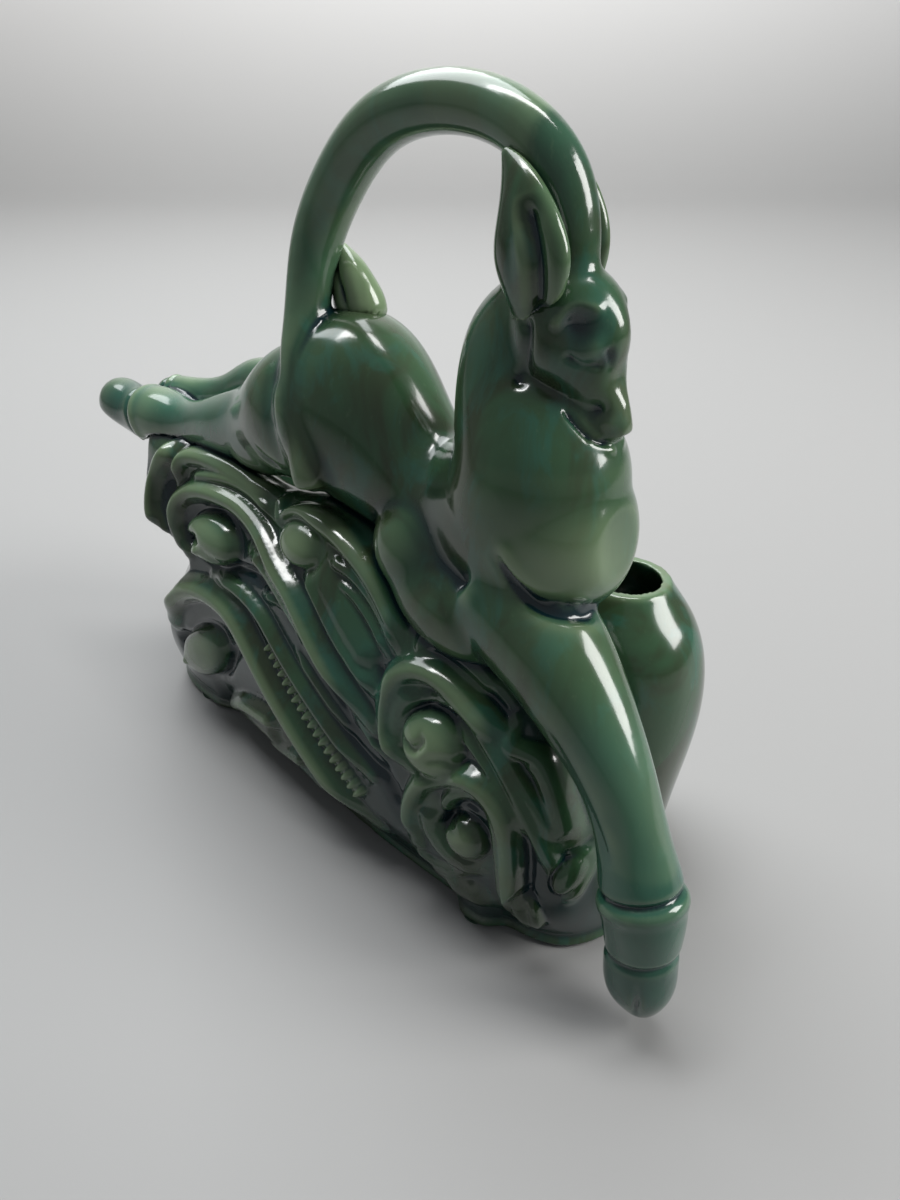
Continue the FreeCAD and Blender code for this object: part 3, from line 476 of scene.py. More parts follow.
def fleshed(bm):
    """Add the belly, flank and thigh masses to the welded members."""
    for middle, halves, tilt in MASSES:
        turn = Matrix.Translation(Vector(middle) * MM) @ Matrix.Rotation(math.radians(tilt), 4, "Y")
        shape = turn @ Matrix.Diagonal((*(half * MM for half in halves), 1.0))
        bmesh.ops.create_uvsphere(bm, u_segments=64, v_segments=40, radius=1.0, matrix=shape)
    return bm


def melt(made, spots, rounds):
    """Smooth a mesh strongly round some places (middle, reach), so that masses run together."""
    points = points_of(made)
    group = made.vertex_groups.new(name="melting")
    share = np.zeros(len(points))
    for middle, reach in spots:
        share = np.maximum(share, np.exp(-(np.linalg.norm(points - middle, axis=1) / reach) ** 4))
    for level in range(1, 11):
        chosen = np.nonzero(np.round(share * 10) == level)[0]
        group.add([int(index) for index in chosen], level / 10, "REPLACE")
    soften = made.modifiers.new("melt", "SMOOTH")
    soften.iterations = rounds
    soften.factor = 0.5
    soften.vertex_group = "melting"
    apply_modifiers(made)
    made.vertex_groups.clear()


def finer_where(made, test):
    """Split the faces whose middle passes a test, once."""
    bm = bmesh.new()
    bm.from_mesh(made.data)
    edges = {edge for face in bm.faces if test(face.calc_center_median() / MM) for edge in face.edges}
    bmesh.ops.subdivide_edges(bm, edges=list(edges), cuts=1, use_grid_fill=True)
    bmesh.ops.triangulate(bm, faces=[face for face in bm.faces if len(face.verts) > 4])
    bm.to_mesh(made.data)
    bm.free()


# Where the masses run together: the middle and the reach of each melted place.
MELTED = [
    ((58, -34, 124), 30),  # belly
    ((-20, -28, 148), 18),  # thigh
    ((88, -36, 130), 17),  # shoulder
    ((90, -10, 222), 10),  # root of the horn
    ((3, -37, 148), 19),  # foot of the horn
    ((-8, -27, 172), 13),  # horn against the rump
]
MELT_ROUNDS = 60

# Marks in millimetres: the places, the width and the height, which is under zero for a hollow.
SKULL = [
    ([(111, -12, 211)], 8, 1.6),  # brow
    ([(113, -10, 199)], 5.5, -2.0),  # dip of the bridge
]
# One half of the face; the other half repeats it.
FACE = [
    ([(107, -20, 208.5)], 7.5, -2.6),  # socket of the eye
    ([(103.5, -21, 213.5)], 3.4, -2.2),  # its back corner
    ([(97, -23, 211), (103, -21, 218), (110, -16, 217)], 2.0, 1.3),  # brow ridge
    ([(107.5, -20, 207.5)], 3.8, 3.4),  # eyeball
    ([(97, -23, 203)], 7.0, 1.4),  # cheek
    ([(101, -22, 206), (106, -21, 203), (111, -16, 203)], 1.2, -1.0),  # lower lid
    ([(111, -16, 208), (112.5, -14.5, 201)], 1.2, -0.9),  # tear line
    ([(109.5, -16.5, 190)], 2.4, -1.7),  # nostril
    ([(112, -15, 187)], 2.6, 0.8),  # wing of the nose
    ([(101, -20.5, 191), (104.5, -20, 187.5), (108, -19, 184.5), (111, -17, 182),
      (114, -13, 180.5)], 1.15, -1.5),  # mouth
    ([(108, -19, 182.5), (112, -15, 179.5), (115, -11, 179)], 1.4, 0.7),  # lower lip
]
CHEST = [
    ([(89, -24, 215), (90.5, -25, 208), (89, -24, 200), (86, -24, 193)], 2.2, -1.8),  # behind the cheek
    ([(92, -40, 150), (98, -37, 141), (105, -35, 135.5), (113, -31, 132), (118, -23, 131),
      (119, -12, 132)], 2.0, -1.9),  # crease under the chest
    ([(93, -41, 156), (100, -39, 146), (107, -36, 140), (115, -31, 137),
      (119, -22, 136)], 3.0, 1.1),  # roll over that crease
]
# Rings round a limb: middle, way across, width, height and reach.
FORELEG_RINGS = [
    ((157, -40, 57), (0.35, -0.12, -0.93), 1.3, -1.5, 24),  # crease over the cuff
    ((158, -40.5, 53), (0.35, -0.12, -0.93), 2.6, 0.9, 24),  # cuff
    ((160.5, -42, 34), (0.25, -0.05, -0.97), 1.4, -1.2, 22),  # top of the hoof
]
FORELEG = [
    ([(166, -54, 32), (167, -53, 22), (166, -50, 8)], 1.3, -2.2),  # cleft of the hoof
    ([(118, -47, 104), (130, -48, 93), (142, -48.5, 78), (150, -50, 66)], 2.0, -1.1),  # shin
]
NEAR_HIND_RINGS = [
    ((-133, -17, 128.5), (1, 0, 0.35), 1.4, -1.3, 22),  # top of the hoof
    ((-128, -17, 128.5), (1, 0, 0.35), 2.8, 0.9, 24),  # cuff
]
FAR_HIND_RINGS = [
    ((-131, -1, 134), (1, 0.05, 0.1), 1.5, -1.0, 13),  # top of the hoof
]
SEAMS = [
    ([(10, -38, 138), (-8, -37, 140), (-20, -36, 150), (-24, -32, 164), (-20, -26, 176)],
     2.2, -1.3),  # thigh on the body
    ([(72, -40, 158), (76, -43, 146), (84, -44, 136), (92, -43, 128)], 2.4, -1.2),  # shoulder
]
# Painted shade on both halves of the face, darkening the eye's corner, the lower lid, the nostril and the
# fold behind the cheek: middle, reach and strength.
FACE_PAINTED_SHADE = [
    ((104, -21, 213.5), 4.4, 1.3),  # corner of the eye
    ((111.5, -15.5, 205), 2.8, 1.1),  # lower lid
    ((109.5, -16.5, 190), 2.2, 0.7),  # nostril
    ((90, -25, 205), 5.5, 0.6),  # behind the cheek
]
HOOF_SOLE = 129  # z that the near hind hoof's underside is drawn up to


def round_spot(points, middle, reach):
    """One at a place, fading to nothing round it; reach is one length or three."""
    return np.exp(-(np.linalg.norm((points - middle) / reach, axis=1)) ** 2)


def carve_figure(made):
    """Carve the face, the chest, the cuffs, the hooves and the seams."""
    spots, ways = points_of(made), normals_of(made)
    spots = carve(spots, ways, SKULL)
    # the muzzle narrows
    spots[:, 1] += (spots[:, 1] - HEAD_MIDDLE) * -0.16 * np.exp(
        -((spots[:, 0] - 111) / 8) ** 2 - ((spots[:, 2] - 189) / 9) ** 2)
    for side in (near_side, other_side):
        spots = carve(spots, ways, FACE, side)
    spots = carve(spots, ways, CHEST)
    spots = rings(spots, ways, FORELEG_RINGS)
    spots = carve(spots, ways, FORELEG)
    spots = rings(spots, ways, NEAR_HIND_RINGS)
    # the hoof thins to a wedge
    under = step_up(-spots[:, 0], 134, 172) * (spots[:, 2] < HOOF_SOLE)
    spots[:, 2] += (HOOF_SOLE - spots[:, 2]) * 0.55 * under
    spots = rings(spots, ways, FAR_HIND_RINGS)
    spots = carve(spots, ways, SEAMS)
    move_points(made, spots)


def paint_figure(made):
    """Lay the dark, teal and pale glazes on the figure, with painted shade in the face's hollows and on the
    flank, and painted highlights on the chest and the muzzle.
    """
    spots = points_of(made)
    along, height = spots[:, 0], spots[:, 2]
    hoof = np.maximum(step_up(-along - 0.35 * (height - 128), 131, 136),
                      step_up(along, 140, 146) * step_up(-height, -37, -31))
    dark = 0.3 * hoof
    # painted shade in the face's hollows, laid into the dark attribute on both halves
    for middle, reach, strength in FACE_PAINTED_SHADE:
        for side in (near_side, other_side):
            dark = np.maximum(dark, strength * round_spot(spots, side(middle), reach))
    # painted shade in the hollow of the flank, laid into the dark attribute
    flank_painted_shade = round_spot(spots, (62, -34, 142), (8, 12, 24))
    paint(made, "dark", np.maximum(dark, 0.5 * flank_painted_shade))
    cuff = np.exp(-((along + 121) / 9) ** 2) * (height > 112)
    arch = step_up(height, 228, 240) * step_up(-along, -100, -92)
    horn_foot = np.exp(-((along + 8) / 9) ** 2) * step_up(height, 150, 165)
    hind = step_up(-along, 20, 90)
    shin = step_up(along, 118, 136) * step_up(-height, -122, -100)
    paint(made, "teal", 0.6 * hind + 0.25 * cuff + 0.3 * arch + 0.4 * horn_foot + 0.55 * shin)
    # painted highlights on the chest and the muzzle, laid on as pale glaze; the cuff's pale is the glaze's
    # own
    chest = round_spot(spots, (112, -28, 148), (18, 22, 13))
    muzzle = round_spot(spots, (113, -12, 190), (7, 12, 10))
    paint(made, "pale", 0.8 * chest + 0.30 * muzzle + 0.35 * cuff)


figure = object_from("gazelle", fleshed(welded_copy(*BODY_NODES)))
remesh(figure, 1.15, smoothing=8)
melt(figure, MELTED, MELT_ROUNDS)
finer_where(figure, lambda spot: spot.x > 84 and spot.z > 176)
finer_where(figure, lambda spot: spot.x > 135 and spot.z < 66)
carve_figure(figure)
paint_hollows(figure, rounds=12, depth=0.55)
paint_figure(figure)
slimmed(figure, FIGURE_TRIANGLES)
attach(figure, "root")
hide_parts(*BODY_NODES)

GLAZED = glaze("green_glaze")
figure.data.materials.append(GLAZED)


def glazed_piece(name, nodes, voxel, smoothing):
    """Weld, soften and glaze some of the frame's solids as one piece."""
    made = object_from(name, welded_copy(*nodes))
    remesh(made, voxel, smoothing)
    paint_hollows(made)
    made.data.materials.append(GLAZED)
    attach(made, "root")
    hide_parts(*nodes)
    return made


TAIL = [
    ([(9, -6, 200)], 10, 3.2),  # swell of the root
    ([(1, -8, 211)], 6, 2.2),  # swell of the tip
    ([(4, -12, 190), (3, -13, 198), (-1, -11, 207), (-8, -8, 214)], 1.6, -1.6),
    ([(8, -9, 192), (8, -8, 200), (4, -7, 208), (-4, -5, 214)], 1.4, -1.3),
]
# The folds of an ear: along the lamp, out from the middle of the head, and up.
EAR_FOLDS = [
    ([(93, 15, 211), (95, 17, 221), (94, 18, 232), (88, 16, 244)], 2.7, -3.2),  # cup
    ([(85, 18, 213), (86, 20, 224), (84, 19.5, 236), (80, 17, 245)], 2.0, -1.6),  # back fold
    ([(89, 17, 211), (91, 20, 224), (89, 19.5, 235), (85, 17, 245)], 1.8, 1.8),  # rib between
]


def carve_tail(made):
    """Swell the tail, cut its ribs and let its tip break pale."""
    move_points(made, carve(points_of(made), normals_of(made), TAIL))
    paint_hollows(made, rounds=14, depth=0.4)
    paint(made, "pale", 0.7 * step_up(points_of(made)[:, 2], 186, 204))


def fold_ear(leaf, sign, widened):
    """Cut the folds of an ear, on the side of the head that the sign gives."""
    spots, ways = points_of(leaf), normals_of(leaf)
    if widened:
        # the leaf spreads forward over the root of the horn
        middle = 87.5 - 0.055 * np.clip(spots[:, 2] - 222, 0, None) ** 1.6
        wide = np.exp(-((spots[:, 2] - 226) / 19) ** 2)
        spots[:, 0] += (spots[:, 0] - middle) * 0.35 * wide + 2.2 * wide
    spots = carve(spots, ways, EAR_FOLDS, lambda place: (place[0], HEAD_MIDDLE - sign * place[1], place[2]))
    move_points(leaf, spots)
    paint_hollows(leaf, rounds=14, depth=0.5)


carve_tail(glazed_piece("flame_tail", ["tail"], 0.6, 3))
fold_ear(glazed_piece("ear_leaf_near", ["near_ear"], 0.5, 3), 1, True)
fold_ear(glazed_piece("ear_leaf_far", ["far_ear"], 0.5, 3), -1, False)
right_pot = glazed_piece("bud_planter", ["right_planter"], 1.0, 5)
left_pot = glazed_piece("rear_planter", ["left_planter"], 1.2, 3)
glazed_piece("lamp_platform", ["lamp_shelf"], 1.0, 3)

# ---------------------------------------------------------------- the waves

# The relief on the face of the waves: lines of (x, z), each with its height and its width
# in millimetres. Under zero it is a groove.
RIDGES = [
    # upper left curl
    (5.4, 3.0, [(-78, 88), (-82, 91), (-84.5, 97), (-85, 103), (-83.5, 108), (-80, 112), (-74, 115.5),
                (-64, 118), (-50, 119), (-38, 118), (-24, 114), (-10, 107), (4, 101), (20, 89.5),
                (34, 79), (50, 69)]),
    (4.2, 2.6, [(-86, 114), (-86.5, 121), (-83, 127), (-74, 129.5), (-60, 130), (-44, 129), (-24, 127)]),
    (3.2, 1.7, [(-76, 119.5), (-70, 123), (-60, 125), (-48, 126), (-34, 125), (-20, 122)]),
    (2.0, 1.4, [(-70, 133), (-54, 132.5), (-40, 129.5)]),
    (4.2, 2.6, [(-31, 104.5), (-20, 104), (-8, 100.5), (4, 94.5), (18, 86), (32, 78)]),
    (2.2, 1.8, [(-19, 92), (-8, 93.5), (4, 90), (12, 84)]),
    (5.0, 3.2, [(-92, 129), (-98, 123), (-102, 116), (-103.5, 109), (-103, 99), (-98, 92)]),
    # lower left curl
    (6.0, 4.2, [(-97, 44), (-93, 55), (-86, 63.5), (-76, 70), (-64, 74), (-50, 74.7), (-38, 72),
                (-26, 64.5), (-12, 54), (4, 43), (20, 32), (34, 23.5), (48, 16)]),
    (3.8, 2.4, [(-58, 82), (-46, 85), (-32, 85), (-18, 82), (-4, 74.5), (10, 66.5), (24, 58.5),
                (38, 50.5), (50, 45)]),
    (5.4, 3.2, [(-58, 14), (-50, 19.5), (-40, 26), (-28, 30), (-16, 33), (-8, 35.5)]),
    (4.6, 3.0, [(-25, 13), (-10, 18.4), (0, 21.6), (10, 25)]),
    (3.8, 2.8, [(8, 11), (18, 14.5), (27, 17)]),
    (4.4, 5.4, [(-60, 6), (-44, 14), (-26, 20), (-10, 25)]),
    (3.8, 4.4, [(-34, 5), (-16, 10), (2, 13), (20, 9)]),
    # spray under the belly
    (3.0, 4.4, [(12, 116), (24, 108), (36, 99), (48, 90)]),
    (3.0, 1.9, [(-20, 130), (-14, 123), (-9, 118), (-4, 113)]),
    (4.6, 2.3, [(-12, 118), (-11, 124), (-4, 128.5), (8, 130.5), (20, 129), (31, 124.5), (41, 118.5),
                (51, 111), (60, 102)]),
    (3.0, 1.7, [(19, 120.5), (30, 119), (41, 114), (50, 107.4), (58, 100)]),
    (2.2, 1.4, [(24, 115), (34, 112), (44, 106), (53, 98)]),
    (3.6, 2.3, [(8, 113), (20, 104), (30, 96), (40, 89.5), (52, 82)]),
    # the dark channel's own low flow lines
    (1.6, 1.6, [(6, 78), (20, 70), (34, 62), (48, 55), (60, 50)]),
    (1.6, 1.6, [(22, 82), (34, 73), (46, 64), (56, 58)]),
    # right curl
    (5.2, 3.2, [(70, 63), (63, 65.5), (58.5, 71), (56.5, 79), (57, 87), (60, 94), (66, 98.5), (74, 99.5),
                (84, 97), (95, 92), (106, 84)]),
    (2.8, 1.5, [(82, 95.5), (92, 92), (101, 86), (110, 77.5), (120, 66), (128, 52)]),
    (3.4, 1.8, [(73, 89), (80, 92.5), (90, 91), (100, 84), (110, 73.7), (118, 63), (125, 51), (130, 41)]),
    (2.8, 1.6, [(88, 85.5), (95, 81.5), (103, 75), (112, 66), (121, 55)]),
    (3.2, 4.0, [(68, 68), (64, 75), (63, 84), (67, 92)]),
    (3.0, 4.4, [(62, 104), (72, 106), (84, 104), (96, 98)]),
    # lower right curl
    (3.4, 4.6, [(80, 50), (83, 40), (91, 35), (102, 38)]),
    (2.6, 4.4, [(78, 14), (90, 17), (104, 20)]),
    (5.0, 2.9, [(73, 27), (71.6, 38), (72.5, 49), (77, 59.5), (84, 66), (93, 70), (102, 69.5),
                (109, 63.5), (113.5, 53), (115.5, 40), (117, 26), (119, 12)]),
    (3.6, 1.8, [(88.4, 50), (88, 57), (91, 62), (97, 66), (103, 65.5), (107.5, 59), (110.5, 48),
                (112.5, 36), (114, 22)]),
    (2.0, 2.0, [(70, 21), (82, 21), (92, 26), (104, 38)]),
    # leaves under the foreleg
    (3.4, 2.0, [(104, 92), (106, 86), (111, 84.5), (116, 82.5), (121, 76), (126, 66), (131, 54)]),
    (2.6, 1.4, [(112, 83), (118, 77), (124, 66), (129, 54)]),
    (2.2, 1.6, [(133, 50), (135, 40), (134, 30)]),
]
GROOVES = [
    (-4.2, 3.0, [(-93, 118), (-92, 108), (-91, 97)]),
    (-3.0, 2.4, [(-56, 96), (-44, 93), (-30, 95), (-12, 95), (6, 89), (22, 80), (36, 70), (48, 62)]),
    (-3.4, 3.6, [(34, 62), (46, 56), (56, 50), (62, 42), (66, 34)]),
    (-2.2, 2.4, [(48, 96), (54, 88), (55, 78), (56, 68), (60, 60)]),
    (-2.6, 2.2, [(-40, 57), (-50, 45), (-56, 35), (-62, 27)]),
    (-2.0, 2.0, [(-10, 44), (4, 36), (18, 27), (30, 20)]),
    (-2.4, 2.0, [(66, 104), (74, 105), (86, 102), (98, 96), (104, 91)]),
    (-2.4, 2.0, [(116, 60), (120, 46), (121, 30), (122, 14)]),
    (-1.6, 1.6, [(80, 72), (86, 75), (94, 73)]),
]
# The rolled eyes: centre x and z, the two half lengths, the turn of the long one, height.
EYES = [
    (-57.5, 100, 18.0, 11.0, 6, 6.6),
    (-70.5, 38.5, 24.0, 12.0, 40, 6.4),
    (1, 120, 13.0, 8.2, 2, 5.2),
    (78.5, 75.5, 12.8, 12.0, 0, 6.6),
    (97, 46.5, 8.8, 8.4, 0, 5.2),
    (121.5, 22, 5.4, 10.5, 8, 2.8),
    (132, 41, 3.8, 7.0, -6, 2.4),
]
# The hollow mouth of a curl beside its eye.
MOUTHS = [
    (-3.8, 2.4, [(-78, 92), (-71, 96.5), (-65, 98.5), (-61, 98)]),
    (-5.0, 3.6, [(-95, 28), (-92, 34), (-88, 39)]),
    (-4.0, 2.2, [(85, 44), (87, 48), (90.5, 51), (94, 50)]),
    (-3.0, 1.5, [(67, 76), (70, 74), (75, 74.5), (78, 78), (77, 81)]),
]
# The folds round an eye: lips over zero, creases under it.
FOLDS = [
    (1.6, 1.6, [(-76, 88), (-68, 91.5), (-61, 94.5)]),
    (1.8, 2.0, [(-94, 22), (-87, 26), (-83, 31)]),
    (-1.8, 1.2, [(71, 84), (75, 89), (83, 91), (92, 87)]),
    (-1.6, 1.1, [(91, 56), (95, 59), (101, 59)]),
    (-1.2, 1.0, [(-62, 112), (-50, 114), (-38, 111)]),
]


# The row of beads: how many, where the first and the last lie, and the turn of each.
BEADS = 18
FIRST_BEAD, LAST_BEAD = np.array((-13, 71)), np.array((43, 32.5))
BEAD_TURN = math.radians(48)
BEAD_HEIGHT = 4.4
# The glaze breaks pale on some eyes: x, z, two half lengths and strength.
PALE_EYES = [(1.5, 120, 12, 8, 0.8), (79, 75, 12, 12, 0.55), (-55, 101, 16, 10, 0.25)]


def turned_off(places, middle, turn):
    """Distances from a place, along and across a direction."""
    off = places - np.array(middle)
    along = off[:, 0] * math.cos(turn) + off[:, 1] * math.sin(turn)
    across = -off[:, 0] * math.sin(turn) + off[:, 1] * math.cos(turn)
    return along, across


def near_line(places, line, margin):
    """Which places lie in the box round a line."""
    return np.all((places > line.min(axis=0) - margin) & (places < line.max(axis=0) + margin), axis=1)


def add_ridges(total, places):
    """Raise each ridge; where two meet the higher one wins."""
    for height, width, line in RIDGES:
        line = curve_through(line, 5)
        near = near_line(places, line, 14)
        gap, along = nearest_on_line(places[near], line)
        fade = 0.35 + 0.65 * step_up(along, 0.0, 0.12) * step_up(1 - along, 0.0, 0.16)
        band = 1.25 * height * fade * np.clip(1 - (gap / (1.7 * width)) ** 2, 0, 1) ** 0.9
        total[near] = np.maximum(total[near], band) + 0.12 * np.minimum(total[near], band)
    return total


def bead_row(places):
    """The share of a bead at each place; the beads grow down the row."""
    pearls = np.zeros(len(places))
    for number in range(BEADS):
        share = number / (BEADS - 1)
        u, v = turned_off(places, FIRST_BEAD + (LAST_BEAD - FIRST_BEAD) * share, BEAD_TURN)
        half, thin = 2.6 + 1.6 * share, 1.3 + 0.35 * share
        pearls = np.maximum(pearls, np.exp(-(u / half) ** 4 - (v / thin) ** 4))
    return pearls


def set_eyes(total, places):
    """Put a dome with a groove round it wherever a curl rolls up."""
    for x, z, long_half, short_half, turn, height in EYES:
        u, v = turned_off(places, (x, z), math.radians(turn))
        u, v = u / long_half, v / short_half
        reach = np.sqrt(u ** 2 + v ** 2)
        dome = height * np.clip(1 - reach ** 2, 0, 1) ** 0.6 - 1.0
        edge = step_up(reach, 0.88, 1.10)
        away = 0.5 - 0.5 * u / np.maximum(reach, 0.05)
        groove = (0.4 + 2.0 * away) * np.exp(-((reach - 1.06) / 0.11) ** 2)
        total = total * edge + dome * (1 - edge) - groove
    return total


def relief(places):
    """Height of the relief at places (x, z) on the face, and the share of a bead in it."""
    total = add_ridges(np.zeros(len(places)), places)
    pearls = bead_row(places)
    total = np.maximum(total, BEAD_HEIGHT * pearls)
    total = total - 2.6 * step_up(-places[:, 1], -128, -114)
    total = set_eyes(total, places)
    for height, width, line in GROOVES + MOUTHS + FOLDS:
        line = curve_through(line, 5)
        near = near_line(places, line, 12)
        gap, along = nearest_on_line(places[near], line)
        fade = step_up(along, 0.0, 0.2) * step_up(1 - along, 0.0, 0.2)
        total[near] += height * (0.25 + 0.75 * fade) * np.exp(-(gap / width) ** 2)
    return total, pearls


# Where the left end of the waves turns away: height above the table and the x of the corner.
END_CORNER = [(0, -111), (20, -109), (34, -107), (46, -102), (53, -98), (60, -93), (69, -84),
              (79, -78), (86, -79), (89, -93), (94, -107), (100, -109), (108, -110), (123, -107), (140, -99)]

FRONT_LIMIT = -60.5  # the waves reach no further forward
LINING_BACK = 9  # how far the inner side moves back behind the deep carving
FOOT_TUCK = 6.5  # how far the foot draws in under the curls
END_SLOPE = 1.12  # how fast the left end turns away
END_SHARE = 0.88


def carve_waves(made):
    """Carve the curls into the wave wall, draw in its foot and turn its left end away, laying painted shade
    on that turned end.
    """
    spots, ways = points_of(made), normals_of(made)
    lean = ways + np.array((0, -0.8, 0))
    lean /= np.linalg.norm(lean, axis=1)[:, None]
    places = spots[:, [0, 2]] + 3.5 * lean[:, [0, 2]]
    face = step_up(-ways[:, 1], 0.05, 0.35) * step_up(-spots[:, 1], 19, 23) * step_up(ways[:, 2], -0.5, -0.35)
    face *= step_up(spots[:, 2], 1.5, 6)
    lining = step_up(ways[:, 1], 0.05, 0.35) * step_up(-spots[:, 1], 20, 26) * step_up(spots[:, 2], 2, 8)
    height, pearls = relief(places)
    spots = spots + lean * (height * face)[:, None]
    spots[:, 1] += LINING_BACK * lining
    tuck = step_up(-spots[:, 2], -28, -1) * (0.1 + 0.9 * step_up(spots[:, 0], -78, -60))
    tuck *= step_up(-spots[:, 1], 16, 26) * (1 - 0.9 * np.exp(-((spots[:, 0] - 97) / 9) ** 4))
    spots[:, 1] += FOOT_TUCK * tuck
    corner = np.interp(spots[:, 2], *np.array(END_CORNER, float).T)
    plane = -41 + (corner - spots[:, 0]) * END_SLOPE
    behind = np.clip(plane - spots[:, 1], 0, None) * (spots[:, 0] < corner)
    spots[:, 1] += END_SHARE * behind
    spots[:, 1] = np.maximum(spots[:, 1], FRONT_LIMIT)
    move_points(made, spots)
    paint(made, "ridge", (height - 1.2) / 3.4 * face)
    # hollow gets the glaze's pooling in the grooves, and painted shade on the left end where it turns away
    paint(made, "hollow", np.maximum((-height - 0.6) / 3.4 * face, 0.25 * step_up(behind, 3, 9)))
    eye_pale = sum(np.exp(-(((places[:, 0] - x) / a) ** 2 + ((places[:, 1] - z) / b) ** 2)) * share
                   for x, z, a, b, share in PALE_EYES)
    paint(made, "pale", (eye_pale + 0.8 * pearls) * face)
    spray = np.exp(-((places[:, 0] - 50) / 26) ** 2 - ((places[:, 1] - 84) / 22) ** 2)
    paint(made, "teal", 0.55 * face * spray)


waves = object_from("curling_waves", welded_copy("wave_base"))
remesh(waves, 0.8, smoothing=3)
carve_waves(waves)
even = waves.modifiers.new("even", "SMOOTH")
even.iterations = 6
even.factor = 0.5
slimmed(waves, WAVE_TRIANGLES)
waves.data.materials.append(GLAZED)
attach(waves, "root")
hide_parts("wave_base", "upper_left_scroll", "lower_left_scroll", "centre_spray",
            "right_scroll", "lower_right_scroll", "right_leaf", "wave_beads")

figure_tree = surface_tree(figure, right_pot, left_pot)
wave_tree = surface_tree(waves)
# glaze pooling where the pieces meet, which is also painted shade in the joins
pool_and_painted_shade_near(waves, figure_tree, 3.2)
pool_and_painted_shade_near(figure, wave_tree, 3.0)

# ---------------------------------------------------------------- the lamp holder

BRASS = plain_finish("aged_brass", (0.55, 0.38, 0.15), 0.32, metallic=1.0, grain=220)
STEEL = plain_finish("plated_steel", (0.45, 0.45, 0.46), 0.35, metallic=1.0, grain=400)
PHENOLIC = plain_finish("brown_phenolic", (0.028, 0.017, 0.012), 0.35, grain=500)
FIBRE = plain_finish("fibre_sheet", (0.22, 0.15, 0.09), 0.8, grain=900)
FELT = plain_finish("green_felt", (0.02, 0.05, 0.03), 0.95, grain=2500, bump=0.6)
for node in ("socket_shell", "socket_cap", "seat_ring", "screw_shell", "centre_contact",
             "threaded_nipple", "terminal_screws"):
    dress(node, BRASS)
for node in ("shelf_washer", "nipple_locknut", "cap_set_screw", "switch_spindle"):
    dress(node, STEEL)
for node in ("switch_knob", "socket_insulator", "nipple_bush"):
    dress(node, PHENOLIC)
dress("fibre_liner", FIBRE)
dress("felt_pads", FELT)


def glass(name, rough):
    """Thin lamp glass, a little frosted."""
    made = plain_finish(name, (0.93, 0.94, 0.93), rough, grain=60, contrast=0.02, bump=0.02)
    shader = made.node_tree.nodes["Principled BSDF"]
    shader.inputs["Transmission Weight"].default_value = 0.96
    shader.inputs["IOR"].default_value = 1.5
    return made


dress("bulb_glass", glass("frosted_bulb_glass", 0.22))
dress("bulb_stem", glass("clear_stem_glass", 0.04))
dress("bulb_filament", plain_finish("grey_tungsten", (0.30, 0.30, 0.31), 0.4, metallic=1.0, grain=900))
dress("bulb_screw_base", plain_finish("bright_brass", (0.66, 0.50, 0.24), 0.26, metallic=1.0, grain=260))
dress("bulb_contact", plain_finish("black_glass_foot", (0.012, 0.012, 0.014), 0.18, grain=120))

# ---------------------------------------------------------------- stage, light and camera

VIEW_TURN = math.radians(42.7)
VIEW_DROP = math.radians(32.0)
VIEW_PLACE = (0.240, -0.217, 0.277)
VIEW_LENS = 27.06
SWEEP_START = 1.6  # metres from the lamp to where the paper curves up
SWEEP_RADIUS = 0.9
SWEEP_HALF_WIDTH = 5.0


def paper_with_painted_light():
    """Matt paper with painted light: its colour is made lighter up the wall than on the floor, in place of
    the light that falls there.
    """
    made = bpy.data.materials.new("paper_with_painted_light")
    made.use_nodes = True
    paper = made.node_tree
    shader = paper.nodes["Principled BSDF"]
    where = value_node(paper, "ShaderNodeTexCoord")
    apart = value_node(paper, "ShaderNodeSeparateXYZ")
    up = value_node(paper, "ShaderNodeMapRange")
    up.inputs["From Max"].default_value = 0.5
    # painted light: darker paper on the floor, lighter up the wall
    tone = value_node(paper, "ShaderNodeMix", data_type="RGBA")
    tone.inputs[6].default_value = (0.27, 0.27, 0.268, 1)
    tone.inputs[7].default_value = (0.62, 0.62, 0.615, 1)
    paper.links.new(where.outputs["Object"], apart.inputs[0])
    paper.links.new(apart.outputs["Z"], up.inputs["Value"])
    paper.links.new(up.outputs["Result"], tone.inputs[0])
    paper.links.new(tone.outputs[2], shader.inputs["Base Color"])
    shader.inputs["Roughness"].default_value = 0.55
    return made


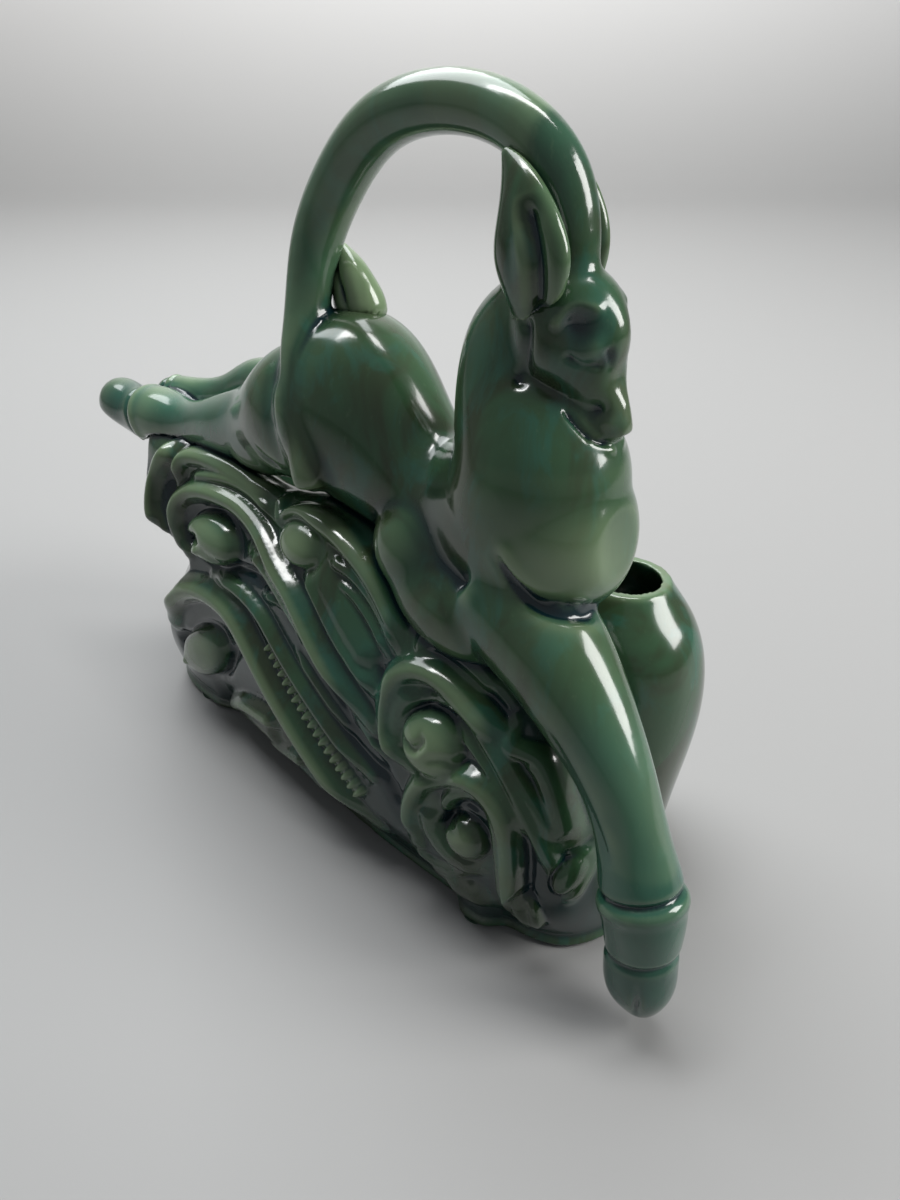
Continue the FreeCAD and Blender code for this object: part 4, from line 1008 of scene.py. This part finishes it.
def backdrop():
    """A pale sweep behind and under the lamp: floor, curve and wall in one sheet."""
    away = Vector((-math.sin(VIEW_TURN), math.cos(VIEW_TURN), 0))
    side = Vector((math.cos(VIEW_TURN), math.sin(VIEW_TURN), 0))
    profile = [(-4.0, 0.0), (SWEEP_START, 0.0)]
    for step in range(1, 13):
        bend = step * math.pi / 24
        profile.append((SWEEP_START + SWEEP_RADIUS * math.sin(bend),
                        SWEEP_RADIUS - SWEEP_RADIUS * math.cos(bend)))
    profile.append((SWEEP_START + SWEEP_RADIUS, 3.5))
    bm = bmesh.new()
    rows = [[bm.verts.new(away * far + side * across + Vector((0, 0, up)))
             for across in (-SWEEP_HALF_WIDTH, SWEEP_HALF_WIDTH)] for far, up in profile]
    for first, second in zip(rows, rows[1:]):
        bm.faces.new((first[0], first[1], second[1], second[0]))
    made = object_from("sweep", bm)
    smooth_shade(made)
    made.data.materials.append(paper_with_painted_light())


backdrop()
world = bpy.data.worlds.new("room")
bpy.context.scene.world = world
world.use_nodes = True
world.node_tree.nodes["Background"].inputs["Color"].default_value = (0.75, 0.78, 0.82, 1)
world.node_tree.nodes["Background"].inputs["Strength"].default_value = 0.24


def soft_light(name, place, aim, width, height, power, colour=(1, 1, 1)):
    """A rectangular soft light aimed at a place."""
    lamp = bpy.data.lights.new(name, "AREA")
    lamp.shape = "RECTANGLE"
    lamp.size, lamp.size_y = width, height
    lamp.energy = power
    lamp.color = colour
    made = place_object(name, lamp)
    made.location = place
    made.rotation_euler = (Vector(aim) - Vector(place)).to_track_quat("-Z", "Y").to_euler()


soft_light("window", (1.0, 0.55, 0.8), (0, 0, 0.12), 0.6, 0.8, 17, (1.0, 0.99, 0.97))
soft_light("sky", (-0.7, 0.2, 1.3), (0, 0, 0.05), 1.1, 1.1, 20, (0.95, 0.98, 1.0))
soft_light("wall_wash", (-0.3, 0.3, 2.4), (-1.7, 1.9, 1.3), 1.5, 1.5, 95, (1.0, 0.99, 0.98))

lens = bpy.data.cameras.new("view")
lens.sensor_width = 36
lens.lens = VIEW_LENS
camera = place_object("view", lens)
camera.location = VIEW_PLACE
camera.rotation_euler = (math.pi / 2 - VIEW_DROP, 0, VIEW_TURN)
bpy.context.scene.camera = camera
bpy.context.scene.view_settings.view_transform = "Standard"
